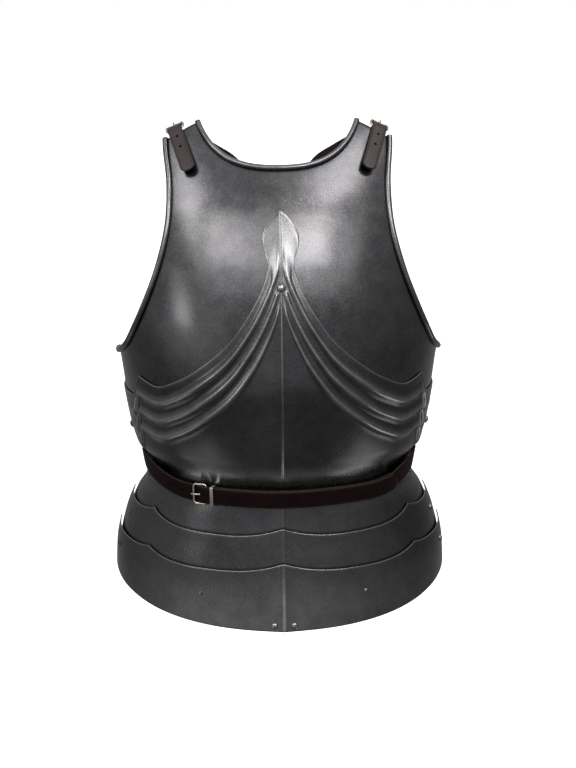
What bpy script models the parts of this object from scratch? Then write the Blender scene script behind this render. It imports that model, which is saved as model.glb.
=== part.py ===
"""Steel breastplate with a fluted plackart, a fauld of three lames, a waist belt and shoulder straps.

Metres, +Z up, the front faces -Y and the wearer's left is +X.  The origin is the point between the
wearer's shoulders that the harness hangs from.  Heights are given as a drop below that point, and
places round the body as a turn in degrees from the middle of the front, positive to the wearer's left.
"""
import math

import bmesh
import bpy
from mathutils import Matrix, Vector
from mathutils.bvhtree import BVHTree

# ---- sheet, leather and clearances -------------------------------------------------------------
SHEET = 0.0015          # steel plate
LAP = 0.0008            # clearance between two plates that lap
WAIST_ROOM = 0.0010     # more of it where the waist lame hooks over the hollow of the waist
FIT = 0.0003            # clearance between pieces that touch
BELT_WIDTH = 0.0205
STRAP_WIDTH = 0.0176
LEATHER = 0.0026
ROLL = 0.0033           # radius of the rolled neck and arm edges
HOLE_ROOM = 0.0004      # a rivet hole is this much larger than its shank, all round

# ---- the body that every plate is raised over --------------------------------------------------
SECTION_COLUMNS = ("drop", "half_width", "front", "back", "squareness", "keel")
SECTIONS = (
    (-0.020, 0.1500, 0.020, 0.004, 2.00, 0.000),
    (0.000, 0.1600, 0.045, 0.012, 2.00, 0.000),
    (0.050, 0.1780, 0.088, 0.040, 2.05, 0.000),
    (0.100, 0.1900, 0.120, 0.072, 2.10, 0.001),
    (0.160, 0.1965, 0.146, 0.095, 2.15, 0.002),
    (0.230, 0.1975, 0.163, 0.101, 2.20, 0.003),
    (0.290, 0.1895, 0.168, 0.098, 2.20, 0.004),
    (0.335, 0.1833, 0.162, 0.093, 2.15, 0.004),
    (0.380, 0.1735, 0.150, 0.088, 2.10, 0.004),
    (0.412, 0.1565, 0.137, 0.084, 2.05, 0.004),
    (0.430, 0.1565, 0.134, 0.084, 2.05, 0.004),
    (0.450, 0.1680, 0.137, 0.088, 2.05, 0.004),
    (0.480, 0.1800, 0.143, 0.093, 2.05, 0.004),
    (0.520, 0.1880, 0.154, 0.098, 2.05, 0.004),
    (0.600, 0.1905, 0.170, 0.104, 2.05, 0.004),
)
KEEL_REACH = 0.018      # how far the keel of the middle fades out sideways
STRAP_REACH = 0.045     # and how far a strap that bridges the keel does

# ---- outlines, as turn and drop ----------------------------------------------------------------
SIDE_TURN = 94.0
NECK_TURN = 36.3
NECK_DROP = 0.0500
NECK_POWER = 2.5
SHOULDER = ((36.3, 0.0012), (39.8, 0.0052), (45.3, 0.0130), (49.9, 0.0190))
ARMHOLE = (
    (49.9, 0.0190), (42.3, 0.0650), (40.1, 0.1110), (43.6, 0.1620),
    (52.7, 0.2160), (63.5, 0.2530), (78.0, 0.2720), (94.0, 0.2800),
)
BREAST_HEM = 0.3860     # lower edge of the breastplate, hidden behind the plackart
TUCK = 0.0008           # the breastplate is let in this much where the plackart covers it
PLACKART_HEM = 0.4440   # lower edge of the plackart, hidden behind the waist lame

# the spear-shaped finial, from its tip to where it runs into the upper edge
FINIAL = (
    (0.0, 0.0940), (1.5, 0.0980), (3.2, 0.1050), (4.9, 0.1150), (5.5, 0.1250),
    (5.0, 0.1345), (4.0, 0.1450), (3.6, 0.1530), (4.0, 0.1630), (5.1, 0.1770),
)
# the swag that the upper edge and the flutes share
SWAG = (
    (0.0, 0.1280), (3.0, 0.1590), (8.0, 0.1990), (15.5, 0.2380),
    (25.5, 0.2660), (37.0, 0.2870), (48.0, 0.2975), (58.8, 0.2905),
)
TIP_TURN = 58.8         # where the swag turns up to its tips
TIP_FALL = 0.0280       # and how far it falls again behind them
TIP_SPREAD = 9.0
FLUTES = (0.0205, 0.0430, 0.0645)   # drop of each flute below the upper edge
FLUTE_LEAN = 1.1        # each flute's tip sits this much further round than the last
FLUTE_DIP = 0.0085      # the last one also hangs this much lower close beside the keel
DIP_TURN = 4.0
FLUTE_RISE = 0.0034
LIP_RISE = 0.0010
BAND_ROWS = 4

# ---- fauld -------------------------------------------------------------------------------------
LAME_COLUMNS = ("name", "layer", "keel_top", "cusp_turn", "cusp_drop", "sag", "tip_drop", "side_sag",
                "hem_front", "hem_side", "stand_off")
LAMES = (
    ("waist_lame", 2, 0.4275, 46.0, 0.4255, 0.0, 0.4110, 0.0, 0.4940, 0.4800, 0.0),
    ("middle_lame", 3, 0.4650, 58.0, 0.4575, 0.0125, 0.4530, 0.0060, 0.5320, 0.5200, 0.0020),
    ("lower_lame", 4, 0.5050, 54.5, 0.5005, 0.0110, 0.4910, 0.0045, 0.5815, 0.5400, 0.0042),
)
LAME_TURN = 91.0
PIVOT_TURN = 79.0
HEAD = 0.0040           # radius of a rivet's head
DOME = 0.0050           # and of the one on the finial
SHANK = 0.0016

# ---- belt and straps ---------------------------------------------------------------------------
BELT_FRONT_DROP = 0.4275
BELT_SIDE_DROP = 0.4095
BUCKLE_TURN = -35.0
TONGUE_TURN = 54.0

STEEL = ("darkened_steel", (0.13, 0.13, 0.14), 0.38, 1.0)
BRIGHT = ("bright_steel", (0.60, 0.60, 0.60), 0.25, 1.0)
HIDE = ("brown_leather", (0.045, 0.022, 0.018), 0.50, 0.0)


def clear_scene():
    for thing in list(bpy.data.objects):
        bpy.data.objects.remove(thing, do_unlink=True)


def material(look):
    name, colour, roughness, metallic = look
    made = bpy.data.materials.get(name)
    if made is None:
        made = bpy.data.materials.new(name)
        made.use_nodes = True
        shader = made.node_tree.nodes["Principled BSDF"]
        shader.inputs["Base Color"].default_value = (*colour, 1.0)
        shader.inputs["Roughness"].default_value = roughness
        shader.inputs["Metallic"].default_value = metallic
    return made


def finish(bm, name, look, smooth_angle=35.0):
    """Turn a closed bmesh into the named object, with its faces pointing out."""
    bmesh.ops.recalc_face_normals(bm, faces=bm.faces)
    if bm.calc_volume(signed=True) < 0:
        bmesh.ops.reverse_faces(bm, faces=bm.faces)
    mesh = bpy.data.meshes.new(name)
    bm.to_mesh(mesh)
    bm.free()
    mesh.shade_smooth()
    mesh.set_sharp_from_angle(angle=math.radians(smooth_angle))
    made = bpy.data.objects.new(name, mesh)
    bpy.context.scene.collection.objects.link(made)
    made.data.materials.append(material(look))
    return made


# ---- curves ------------------------------------------------------------------------------------
def ease(low, high, value):
    part = min(max((value - low) / (high - low), 0.0), 1.0)
    return part * part * (3.0 - 2.0 * part)


def column(table, names, name):
    place = names.index(name)
    return [row[place] for row in table]


def read(xs, ys, x):
    """A smooth curve through the points that never overshoots them."""
    x = min(max(x, xs[0]), xs[-1])
    last = len(xs) - 1
    steps = [xs[i + 1] - xs[i] for i in range(last)]
    rates = [(ys[i + 1] - ys[i]) / steps[i] for i in range(last)]
    i = next(k for k in range(last) if x <= xs[k + 1])

    def slope(k):
        if k == 0:
            return rates[0]
        if k == last:
            return rates[-1]
        if rates[k - 1] * rates[k] <= 0.0:
            return 0.0
        before = 2.0 * steps[k] + steps[k - 1]
        after = steps[k] + 2.0 * steps[k - 1]
        return (before + after) / (before / rates[k - 1] + after / rates[k])

    t = (x - xs[i]) / steps[i]
    rise = ys[i + 1] - ys[i]
    lead = steps[i] * slope(i)
    tail = steps[i] * slope(i + 1)
    return ys[i] + t * lead + t * t * (3.0 * rise - 2.0 * lead - tail) + t ** 3 * (lead + tail - 2.0 * rise)


DEGREE = 0.0030         # one degree of turn is about this long
TURN_SCALE = (DEGREE, 1.0, 1.0)     # spaces points that are (turn, drop)
PLAIN_SCALE = (1.0, 1.0, 1.0)       # and points in space


def through(points, count, scale=TURN_SCALE):
    """count + 1 evenly spaced points on a smooth curve through the given ones."""
    points = [Vector(p).to_3d() for p in points]
    ends = [2 * points[0] - points[1]] + points + [2 * points[-1] - points[-2]]
    fine = []
    for a, b, c, d in zip(ends, ends[1:], ends[2:], ends[3:]):
        for k in range(16):
            t = k / 16
            fine.append(0.5 * (2 * b + (c - a) * t + (2 * a - 5 * b + 4 * c - d) * t * t
                               + (3 * b - a - 3 * c + d) * t ** 3))
    fine.append(points[-1])
    return evenly(fine, count, scale)


def evenly(line, count, scale=TURN_SCALE):
    stretch = Vector(scale)
    reach = [0.0]
    for a, b in zip(line, line[1:]):
        reach.append(reach[-1] + ((b - a) * stretch).length)
    made = []
    k = 0
    for step in range(count + 1):
        want = reach[-1] * step / count
        while k < len(line) - 2 and reach[k + 1] < want:
            k += 1
        span = max(reach[k + 1] - reach[k], 1e-9)
        made.append(line[k].lerp(line[k + 1], min((want - reach[k]) / span, 1.0)))
    return made


# ---- the body's surface ------------------------------------------------------------------------
DROPS = column(SECTIONS, SECTION_COLUMNS, "drop")
SECTION = {name: column(SECTIONS, SECTION_COLUMNS, name) for name in SECTION_COLUMNS[1:]}


def bare_skin(turn, drop, soft=False):
    """The body's surface; soft rounds the keel off, as a strap does that bridges it."""
    width, front, back, square, keel = (read(DROPS, SECTION[name], drop) for name in SECTION_COLUMNS[1:])
    angle = math.radians(turn)
    side = math.sin(angle)
    ahead = math.cos(angle)
    x = math.copysign(width * abs(side) ** (2.0 / square), side)
    if ahead < 0.0:
        return Vector((x, back * abs(ahead) ** (2.0 / square), -drop))
    y = -front * ahead ** (2.0 / square)
    rise = math.exp(-(x / STRAP_REACH) ** 2) if soft else math.exp(-abs(x) / KEEL_REACH)
    return Vector((x, y - keel * rise, -drop))


def outward(turn, drop, soft=False):
    across = bare_skin(turn + 0.2, drop, soft) - bare_skin(turn - 0.2, drop, soft)
    down = bare_skin(turn, drop + 0.001, soft) - bare_skin(turn, drop - 0.001, soft)
    return down.cross(across).normalized()


def skin(turn, drop, proud=0.0, soft=False):
    return bare_skin(turn, drop, soft) + proud * outward(turn, drop, soft)


def layer_proud(layer):
    """Height of a plate's inner face above the body: the breastplate is layer 0."""
    if layer == 0:
        return -SHEET
    return LAP + (layer - 1) * (SHEET + LAP) + (WAIST_ROOM if layer > 1 else 0.0)


# ---- plates ------------------------------------------------------------------------------------
def plate(name, inner, outer, rolled=()):
    """A closed sheet between two grids of points, with a rolled edge on some stretches of its rim.

    Each stretch in rolled is a list of (row, column) places, in order along the rim.
    """
    bm = bmesh.new()
    near = [[bm.verts.new(p) for p in row] for row in inner]
    far = [[bm.verts.new(p) for p in row] for row in outer]
    rows = len(near)
    cols = len(near[0])
    for i in range(rows - 1):
        for j in range(cols - 1):
            bm.faces.new((far[i][j], far[i + 1][j], far[i + 1][j + 1], far[i][j + 1]))
            bm.faces.new((near[i][j], near[i][j + 1], near[i + 1][j + 1], near[i + 1][j]))
    rim = [(0, j) for j in range(cols)] + [(i, cols - 1) for i in range(1, rows)]
    rim += [(rows - 1, j) for j in range(cols - 2, -1, -1)] + [(i, 0) for i in range(rows - 2, 0, -1)]
    rings = {}
    for stretch in rolled:
        places = [outer[i][j] for i, j in stretch]
        for k, (i, j) in enumerate(stretch):
            along = (places[min(k + 1, len(places) - 1)] - places[max(k - 1, 0)]).normalized()
            up = (outer[i][j] - inner[i][j]).normalized()
            off = along.cross(up).normalized()
            inside = outer[min(max(i, 1), rows - 2)][min(max(j, 1), cols - 2)]
            if off.dot(outer[i][j] - inside) < 0:
                off = -off
            centre = outer[i][j] + off * ROLL * 0.85 + up * (ROLL - SHEET)
            bend = [math.radians(angle) for angle in (125, 70, 15, -40, -95)]
            ring = [bm.verts.new(centre + ROLL * (math.cos(a) * off + math.sin(a) * up)) for a in bend]
            rings[(i, j)] = [far[i][j]] + ring + [near[i][j]]
    linked = {frozenset(pair) for stretch in rolled for pair in zip(stretch, stretch[1:])}
    for a, b in zip(rim, rim[1:] + rim[:1]):
        if frozenset((a, b)) in linked:
            first, second = rings[a], rings[b]
        else:
            first = [far[a[0]][a[1]], near[a[0]][a[1]]]
            second = [far[b[0]][b[1]], near[b[0]][b[1]]]
        for k in range(len(first) - 1):
            bm.faces.new((first[k], first[k + 1], second[k + 1], second[k]))
    for stretch in rolled:
        for end in (stretch[0], stretch[-1]):
            bm.faces.new(rings[end])
    return finish(bm, name, STEEL)


def sheet_grids(places, low, thick=SHEET):
    """Inner and outer points of a plate from rows of (turn, drop, extra height)."""
    inner = [[skin(t, d, low + extra) for t, d, extra in row] for row in places]
    outer = [[skin(t, d, low + extra + thick) for t, d, extra in row] for row in places]
    return inner, outer


def mirrored(half_row):
    """A whole row from its half, which starts at the middle."""
    other = [(-t, d, extra) for t, d, extra in reversed(half_row[1:])]
    return other + half_row


def neck_drop(turn):
    return NECK_DROP * (1.0 - (abs(turn) / NECK_TURN) ** NECK_POWER) + SHOULDER[0][1]


KEEL_COLUMN = 0.35      # an extra column this far into the first keeps the keel crisp
NECK_COLUMNS = 8
SHOULDER_COLUMNS = 5
ARM_ROWS = 13
SIDE_ROWS = 4


def breast_places():
    """Half of the breastplate as rows of (turn, drop, extra height), middle first."""
    neck = [Vector((t, neck_drop(t), 0.0)) for t in (NECK_TURN * k / 24 for k in range(25))]
    top = evenly(neck, NECK_COLUMNS) + through(SHOULDER, SHOULDER_COLUMNS)[1:]
    side = through(ARMHOLE, ARM_ROWS)
    side += [Vector((SIDE_TURN, ARMHOLE[-1][1] + (BREAST_HEM - ARMHOLE[-1][1]) * k / SIDE_ROWS, 0.0))
             for k in range(1, SIDE_ROWS + 1)]
    rows = len(side) - 1
    across = [k / (len(top) - 1) for k in range(len(top))]
    top[1:1] = [top[0].lerp(top[1], KEEL_COLUMN)]
    across[1:1] = [KEEL_COLUMN * across[1]]
    places = []
    for i in range(rows + 1):
        v = i / rows
        middle = Vector((0.0, top[0].y + (BREAST_HEM - top[0].y) * v, 0.0))
        row = []
        for j, u in enumerate(across):
            bottom = Vector((SIDE_TURN * u, BREAST_HEM, 0.0))
            corners = (top[0].lerp(top[-1], u)).lerp(Vector((0.0, BREAST_HEM, 0.0)).lerp(side[-1], u), v)
            p = top[j].lerp(bottom, v) + middle.lerp(side[i], u) - corners
            row.append((p.x, p.y, -TUCK * ease(0.20, 0.27, p.y)))
        places.append(row)
    return places


def make_breastplate():
    places = [mirrored(row) for row in breast_places()]
    inner, outer = sheet_grids(places, layer_proud(0))
    last = 2 * (NECK_COLUMNS + SHOULDER_COLUMNS + 1)
    neck = [(0, j) for j in range(SHOULDER_COLUMNS, last - SHOULDER_COLUMNS + 1)]
    left_arm = [(i, last) for i in range(ARM_ROWS + 1)]
    right_arm = [(i, 0) for i in range(ARM_ROWS + 1)]
    return plate("breastplate", inner, outer, (neck, left_arm, right_arm))


def swag(turn):
    if turn <= TIP_TURN:
        return read([p[0] for p in SWAG], [p[1] for p in SWAG], turn)
    return SWAG[-1][1] + TIP_FALL * ease(TIP_TURN, TIP_TURN + TIP_SPREAD, turn)


def flute_place(turn, step):
    """A point on the swag moved down by step, its tips leaning further round as it goes down."""
    number = 3.0 * step / FLUTES[-1]
    lean = FLUTE_LEAN * number * min(turn / TIP_TURN, (SIDE_TURN - turn) / (SIDE_TURN - TIP_TURN))
    step += FLUTE_DIP * number / 3.0 * turn / DIP_TURN * math.exp(1.0 - turn / DIP_TURN)
    return Vector((turn + lean, swag(turn) + step, 0.0))


RIVET_DROP = 0.1775     # the dome rivet on the keel, at the head of the flutes
RIVET_CLEAR = 0.0085


def relief(turn, drop, crest):
    """How far a flute stands up: crest is 1 on its ridge and 0 in the valley."""
    fade = ease(0.0, 3.5, turn) * (1.0 - ease(TIP_TURN + 5.0, TIP_TURN + 20.0, turn))
    away = math.hypot(turn * DEGREE, drop - RIVET_DROP)
    return FLUTE_RISE * crest * fade * ease(0.4 * RIVET_CLEAR, 1.6 * RIVET_CLEAR, away)


FINIAL_COLUMNS = 6
SWAG_COLUMNS = 10
TIP_COLUMNS = 5
FINIAL_SHARE = 3.0      # turn on the first flute that the finial's columns spread over


def swag_columns(start):
    front = [start + (TIP_TURN - start) * (k / SWAG_COLUMNS) ** 1.35 for k in range(SWAG_COLUMNS + 1)]
    behind = [TIP_TURN + (SIDE_TURN - TIP_TURN) * (k / TIP_COLUMNS) ** 1.3 for k in range(1, TIP_COLUMNS + 1)]
    return front + behind


def plackart_places():
    finial = through(FINIAL, FINIAL_COLUMNS)
    edge = finial + [flute_place(t, 0.0) for t in swag_columns(FINIAL[-1][0])[1:]]
    lead = [FINIAL_SHARE * k / FINIAL_COLUMNS for k in range(FINIAL_COLUMNS)]
    turns = lead + swag_columns(FINIAL_SHARE)
    crests = [edge] + [[flute_place(t, step) for t in turns] for step in FLUTES]
    places = []
    for number, (above, below) in enumerate(zip(crests, crests[1:])):
        for k in range(BAND_ROWS):
            q = k / BAND_ROWS
            crest = 1.0 - math.sin(math.pi * q)
            row = []
            for a, b in zip(above, below):
                p = a.lerp(b, q)
                height = relief(p.x, p.y, crest)
                if number == 0 and q < 0.5:
                    height = LIP_RISE * crest
                row.append((p.x, p.y, height))
            places.append(row)
    last = crests[-1]
    for fall, crest in ((0.0, 1.0), (0.0055, 0.45), (0.0130, 0.08)):
        places.append([(p.x, p.y + fall, relief(p.x, p.y + fall, crest)) for p in last])
    rows = 9
    start = places[-1]
    for k in range(1, rows + 1):
        q = k / rows
        places.append([(t, d + (PLACKART_HEM - d) * q, h * (1 - q)) for t, d, h in start])
    return places


def make_plackart():
    places = [mirrored(row) for row in plackart_places()]
    inner, outer = sheet_grids(places, layer_proud(1))
    return plate("plackart", inner, outer)


def scallop(start, end, sag, q):
    return start + (end - start) * q + sag * (1.0 - abs(2.0 * q - 1.0) ** 3)


def lame_edges(row, turn):
    """Drop of the upper and lower edge of a lame at a turn."""
    lame = dict(zip(LAME_COLUMNS, row))
    turn = abs(turn)
    if turn <= lame["cusp_turn"]:
        top = scallop(lame["keel_top"], lame["cusp_drop"], lame["sag"], turn / lame["cusp_turn"])
    else:
        q = (turn - lame["cusp_turn"]) / (LAME_TURN - lame["cusp_turn"])
        top = scallop(lame["cusp_drop"], lame["tip_drop"], lame["side_sag"], q)
    ahead = max(math.cos(math.radians(turn)), 0.0)
    hem = lame["hem_side"] + (lame["hem_front"] - lame["hem_side"]) * ahead ** 0.8
    return top, hem


def stand_off(row, turn):
    """How far a lame's ends stand off, so that they clear the lame above when they swing."""
    return dict(zip(LAME_COLUMNS, row))["stand_off"] * ease(55.0, 88.0, abs(turn))


CUSP_COLUMNS = 9
END_COLUMNS = 7
LAME_ROWS = 6


def make_lame(row):
    lame = dict(zip(LAME_COLUMNS, row))
    cusp = lame["cusp_turn"]
    turns = [cusp * k / CUSP_COLUMNS for k in range(CUSP_COLUMNS + 1)]
    turns[1:1] = [KEEL_COLUMN * turns[1]]
    turns += [cusp + (LAME_TURN - cusp) * k / END_COLUMNS for k in range(1, END_COLUMNS + 1)]
    places = []
    for i in range(LAME_ROWS + 1):
        q = i / LAME_ROWS
        half = []
        for t in turns:
            top, hem = lame_edges(row, t)
            half.append((t, top + (hem - top) * q, stand_off(row, t)))
        places.append(mirrored(half))
    inner, outer = sheet_grids(places, layer_proud(lame["layer"]))
    return plate(lame["name"], inner, outer)


# ---- rivets ------------------------------------------------------------------------------------
def upright(place, normal):
    """Place and axes: x across, y up the plate, z outwards."""
    across = Vector((0, 0, 1)).cross(normal).normalized()
    turned = Matrix((across, normal.cross(across), normal)).transposed().to_4x4()
    return Matrix.Translation(place) @ turned


def frame_at(turn, drop, proud):
    return upright(skin(turn, drop, proud), outward(turn, drop))


def turned_solid(name, profile, look, where, segments=12):
    """A solid of revolution about z, from (radius, height) points that run from axis to axis."""
    bm = bmesh.new()
    rings = []
    for radius, height in profile:
        if radius == 0.0:
            rings.append([bm.verts.new((0, 0, height))])
            continue
        rings.append([bm.verts.new((radius * math.cos(2 * math.pi * k / segments),
                                    radius * math.sin(2 * math.pi * k / segments), height))
                      for k in range(segments)])
    for low, high in zip(rings, rings[1:]):
        for k in range(segments):
            n = (k + 1) % segments
            corners = [low[k % len(low)], low[n % len(low)], high[n % len(high)], high[k % len(high)]]
            bm.faces.new(list(dict.fromkeys(corners)))
    bmesh.ops.transform(bm, matrix=where, verts=bm.verts)
    return finish(bm, name, look, 50.0)


def make_rivet(name, where, depth, head_radius, head_height, shank, look=STEEL, tail=True):
    """A domed head outside, a shank through the plates and a small clenched end inside."""
    under = FIT
    profile = [(0.0, under + head_height), (0.55 * head_radius, under + 0.84 * head_height),
               (0.87 * head_radius, under + 0.5 * head_height), (head_radius, under + 0.1 * head_height),
               (head_radius, under), (shank, under), (shank, -depth - FIT)]
    if tail:
        profile += [(1.5 * shank, -depth - FIT), (1.3 * shank, -depth - FIT - 0.0008)]
    profile.append((0.0, profile[-1][1]))
    return turned_solid(name, profile[::-1], look, where)


def drill(target, where, radius, depth):
    """Cut a round hole through a plate, along z of the given frame."""
    profile = [(0.0, -depth - 0.004), (radius, -depth - 0.004), (radius, 0.004), (0.0, 0.004)]
    cutter = turned_solid(target.name + "_hole", profile, STEEL, where, 12)
    cutter.hide_render = True
    cutter.display_type = "WIRE"
    cut = target.modifiers.new("hole", "BOOLEAN")
    cut.operation = "DIFFERENCE"
    cut.solver = "EXACT"
    cut.object = cutter


def lame_row(name):
    return next(row for row in LAMES if row[0] == name)


def pivot_drop(name):
    top, _ = lame_edges(lame_row(name), PIVOT_TURN)
    return top + 0.0170


# ---- leather -----------------------------------------------------------------------------------
def ribbon(name, stations, width, thick, closed_tip=None, look=HIDE):
    """A flat strap along stations of (place, outward): a closed solid with square edges.

    closed_tip gives the half widths of the last stations, so that a tongue narrows to its tip.
    """
    bm = bmesh.new()
    rings = []
    count = len(stations)
    for k, (place, out) in enumerate(stations):
        along = (stations[min(k + 1, count - 1)][0] - stations[max(k - 1, 0)][0]).normalized()
        normal = (out - along * out.dot(along)).normalized()
        side = along.cross(normal)
        half = width / 2
        if closed_tip and count - 1 - k < len(closed_tip):
            half *= closed_tip[count - 1 - k]
        corners = ((half, thick / 2), (-half, thick / 2), (-half, -thick / 2), (half, -thick / 2))
        rings.append([bm.verts.new(place + side * a + normal * b) for a, b in corners])
    for first, second in zip(rings, rings[1:]):
        for k in range(4):
            n = (k + 1) % 4
            bm.faces.new((first[k], first[n], second[n], second[k]))
    bm.faces.new(rings[0][::-1])
    bm.faces.new(rings[-1])
    return finish(bm, name, look)


TIP_SHAPE = (0.30, 0.80, 1.0)


def belt_drop(turn):
    round_turn = abs((turn + 180.0) % 360.0 - 180.0)
    return BELT_FRONT_DROP + (BELT_SIDE_DROP - BELT_FRONT_DROP) * ease(38.0, 84.0, round_turn)


BELT_BRIDGE = 0.0034    # the flat strap bridges the hollow of the waist
BELT_LOW = layer_proud(2) + SHEET + BELT_BRIDGE + LEATHER / 2
LAYER_STEP = LEATHER + 0.0017       # a second thickness over the first, past the hinge bar
FRAME_LENGTH = 0.0190   # belt buckle, along the belt
FRAME_HEIGHT = 0.0264
WIRE = 0.0013
FAR_BAR_LIFT = LEATHER / 2 + FIT + WIRE
HINGE_BAR_LIFT = LAYER_STEP - FAR_BAR_LIFT - 0.0005     # the strap curves down past the flat frame
BELT_DEGREE = 0.0026    # length of one degree of turn at the belt's buckle


def belt_height(turn):
    """The belt starts at its buckle, goes once round and laps over its own start."""
    clear = (FRAME_LENGTH / 2 - 2 * WIRE) / BELT_DEGREE
    middle = 360.0 + BUCKLE_TURN
    return BELT_LOW + LAYER_STEP * ease(middle - clear, middle + clear, turn)


def belt_turns():
    start = BUCKLE_TURN + 4.6
    lap = 360.0 + BUCKLE_TURN
    end = 360.0 + TONGUE_TURN
    coarse = 74
    turns = [start + (lap - 6.0 - start) * k / coarse for k in range(coarse)]
    turns += [lap - 6.0 + 1.2 * k for k in range(11)]
    turns += [lap + 7.0 + (end - lap - 10.0) * k / 20 for k in range(1, 21)]
    return turns + [end - 1.9, end - 0.7, end]


def make_belt():
    stations = [(skin(turn, belt_drop(turn), belt_height(turn), soft=True),
                 outward(turn, belt_drop(turn), soft=True)) for turn in belt_turns()]
    return ribbon("belt_strap", stations, BELT_WIDTH, LEATHER, TIP_SHAPE)


def bar_ring(place, along, flat, radius, sides=6):
    side = along.cross(flat).normalized()
    up = side.cross(along)
    return [place + radius * (math.cos(a) * side + math.sin(a) * up)
            for a in (2 * math.pi * m / sides for m in range(sides))]


def skin_rings(bm, rings, closed):
    made = [[bm.verts.new(p) for p in ring] for ring in rings]
    pairs = list(zip(made, made[1:])) + ([(made[-1], made[0])] if closed else [])
    for first, second in pairs:
        for m in range(len(first)):
            n = (m + 1) % len(first)
            bm.faces.new((first[m], first[n], second[n], second[m]))
    if not closed:
        bm.faces.new(made[0])
        bm.faces.new(made[-1])


def buckle_frame(name, where, length, height):
    """A rounded rectangular loop of round wire; x of the frame runs along the strap to the hinge bar."""
    corner = 0.0030
    half_length = length / 2 - WIRE - corner
    half_height = height / 2 - WIRE - corner
    path = []
    for quarter, (sx, sy) in enumerate(((1, 1), (-1, 1), (-1, -1), (1, -1))):
        for k in range(4):
            angle = math.radians(90 * quarter + 30 * k)
            path.append(Vector((sx * half_length + corner * math.cos(angle),
                                sy * half_height + corner * math.sin(angle), 0.0)))
    rings = []
    for k, place in enumerate(path):
        ahead = (path[(k + 1) % len(path)] - path[k - 1]).normalized()
        rings.append(bar_ring(place, ahead, Vector((0, 0, 1)), WIRE))
    bm = bmesh.new()
    skin_rings(bm, rings, True)
    bmesh.ops.transform(bm, matrix=where, verts=bm.verts)
    return finish(bm, name, BRIGHT, 60.0)


def prong(name, where, length):
    """The pin: from the hinge bar up through the strap's slot and over the far bar."""
    radius = 0.0011
    rest = WIRE + radius + FIT
    inner = length / 2 - 2 * WIRE - FIT - 0.0004
    points = [Vector(p) for p in ((inner, 0, 0), (0.4 * inner, 0, 0.25 * rest),
                                  (-0.55 * inner, 0, 0.95 * rest), (-length / 2 - 0.0012, 0, rest))]
    rings = []
    for k, place in enumerate(points):
        ahead = (points[min(k + 1, 3)] - points[max(k - 1, 0)]).normalized()
        rings.append(bar_ring(place, ahead, Vector((0, 1, 0)), radius))
    bm = bmesh.new()
    skin_rings(bm, rings, False)
    bmesh.ops.transform(bm, matrix=where, verts=bm.verts)
    return finish(bm, name, BRIGHT, 60.0)


def keeper(name, where, height, depth):
    """A flat metal band round both thicknesses of strap, open along x of the frame."""
    wall = 0.0008
    low = -LEATHER / 2 - FIT
    high = LAYER_STEP + LEATHER / 2 + 2 * FIT
    bm = bmesh.new()
    rings = []
    for x in (-depth / 2, depth / 2):
        for grow in (0.0, wall):
            a = height / 2 + 2 * FIT + grow
            corners = ((-a, low - grow), (a, low - grow), (a, high + grow), (-a, high + grow))
            rings.append([Vector((x, y, z)) for y, z in corners])
    skin_rings(bm, [rings[0], rings[1], rings[3], rings[2]], True)
    bmesh.ops.transform(bm, matrix=where, verts=bm.verts)
    return finish(bm, name, BRIGHT)


def slot(strap, where):
    """The punched hole that a prong comes through."""
    long_hole = Matrix.Translation((0.0012, 0, 0.0040)) @ Matrix.Diagonal((2.6, 1.0, 1.0, 1.0))
    drill(strap, where @ long_hole, 0.0019, 0.0040)


def tilted(where, length):
    """The buckle's frame leans: its far bar lies over the strap and its hinge bar under it."""
    reach = length - 2 * WIRE
    lean = math.atan2(FAR_BAR_LIFT - HINGE_BAR_LIFT, reach)
    lift = (FAR_BAR_LIFT + HINGE_BAR_LIFT) / 2
    return where @ Matrix.Translation((0, 0, lift)) @ Matrix.Rotation(lean, 4, "Y")


def belt_frame(turn):
    drop = belt_drop(turn)
    return upright(skin(turn, drop, BELT_LOW, soft=True), outward(turn, drop, soft=True))


def make_belt_fittings(belt):
    where = belt_frame(BUCKLE_TURN)
    buckle_frame("belt_buckle", tilted(where, FRAME_LENGTH), FRAME_LENGTH, FRAME_HEIGHT)
    prong("belt_prong", tilted(where, FRAME_LENGTH), FRAME_LENGTH)
    slot(belt, where)
    keeper("belt_keeper", belt_frame(BUCKLE_TURN + 6.2), BELT_WIDTH, 0.0042)


# ---- shoulder straps ---------------------------------------------------------------------------
LANDING = (45.3, 0.0127)            # turn and drop where the strap comes down, at the edge of the plate
STRAP_LEAN = 28.0                   # it leans in towards the neck as it comes down
BEND = 0.0045                       # radius of its bend over the shoulder, from flat to the plate's slope
BEND_ANGLE = 38.0
BEND_START = 0.0066                 # the bend starts this far past the middle of the buckle
SHOULDER_FRAME = 0.0150
SHOULDER_HEIGHT = 0.0235
CHAPE_LOW = FIT + LEATHER / 2 + 0.0008
TONGUE_LENGTH = 0.0690
# the way over the shoulder, as x, y, z for the wearer's left strap
OVER_SHOULDER = (
    (0.1200, -0.0060, -0.0150), (0.1080, 0.0110, -0.0225), (0.0945, 0.0250, -0.0310),
    (0.0740, 0.0420, -0.0470), (0.0535, 0.0560, -0.0650),
)
# and down the back to the other side, as turn, drop and height off the body
DOWN_BACK = (
    (170.5, 0.0880, 0.0010), (180.0, 0.1120, 0.0010), (197.0, 0.1640, 0.0010), (222.0, 0.2420, 0.0010),
    (243.0, 0.2970, 0.0000), (257.0, 0.3330, -0.0030), (266.0, 0.3510, -0.0062),
    (274.0, 0.3600, -0.0062), (284.0, 0.3640, -0.0060),
)
CROSS_LIFT = 0.0048     # the right strap passes over the left one where they cross
CROSS_SPREAD = 24.0     # turn over which it rises and falls again


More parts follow.
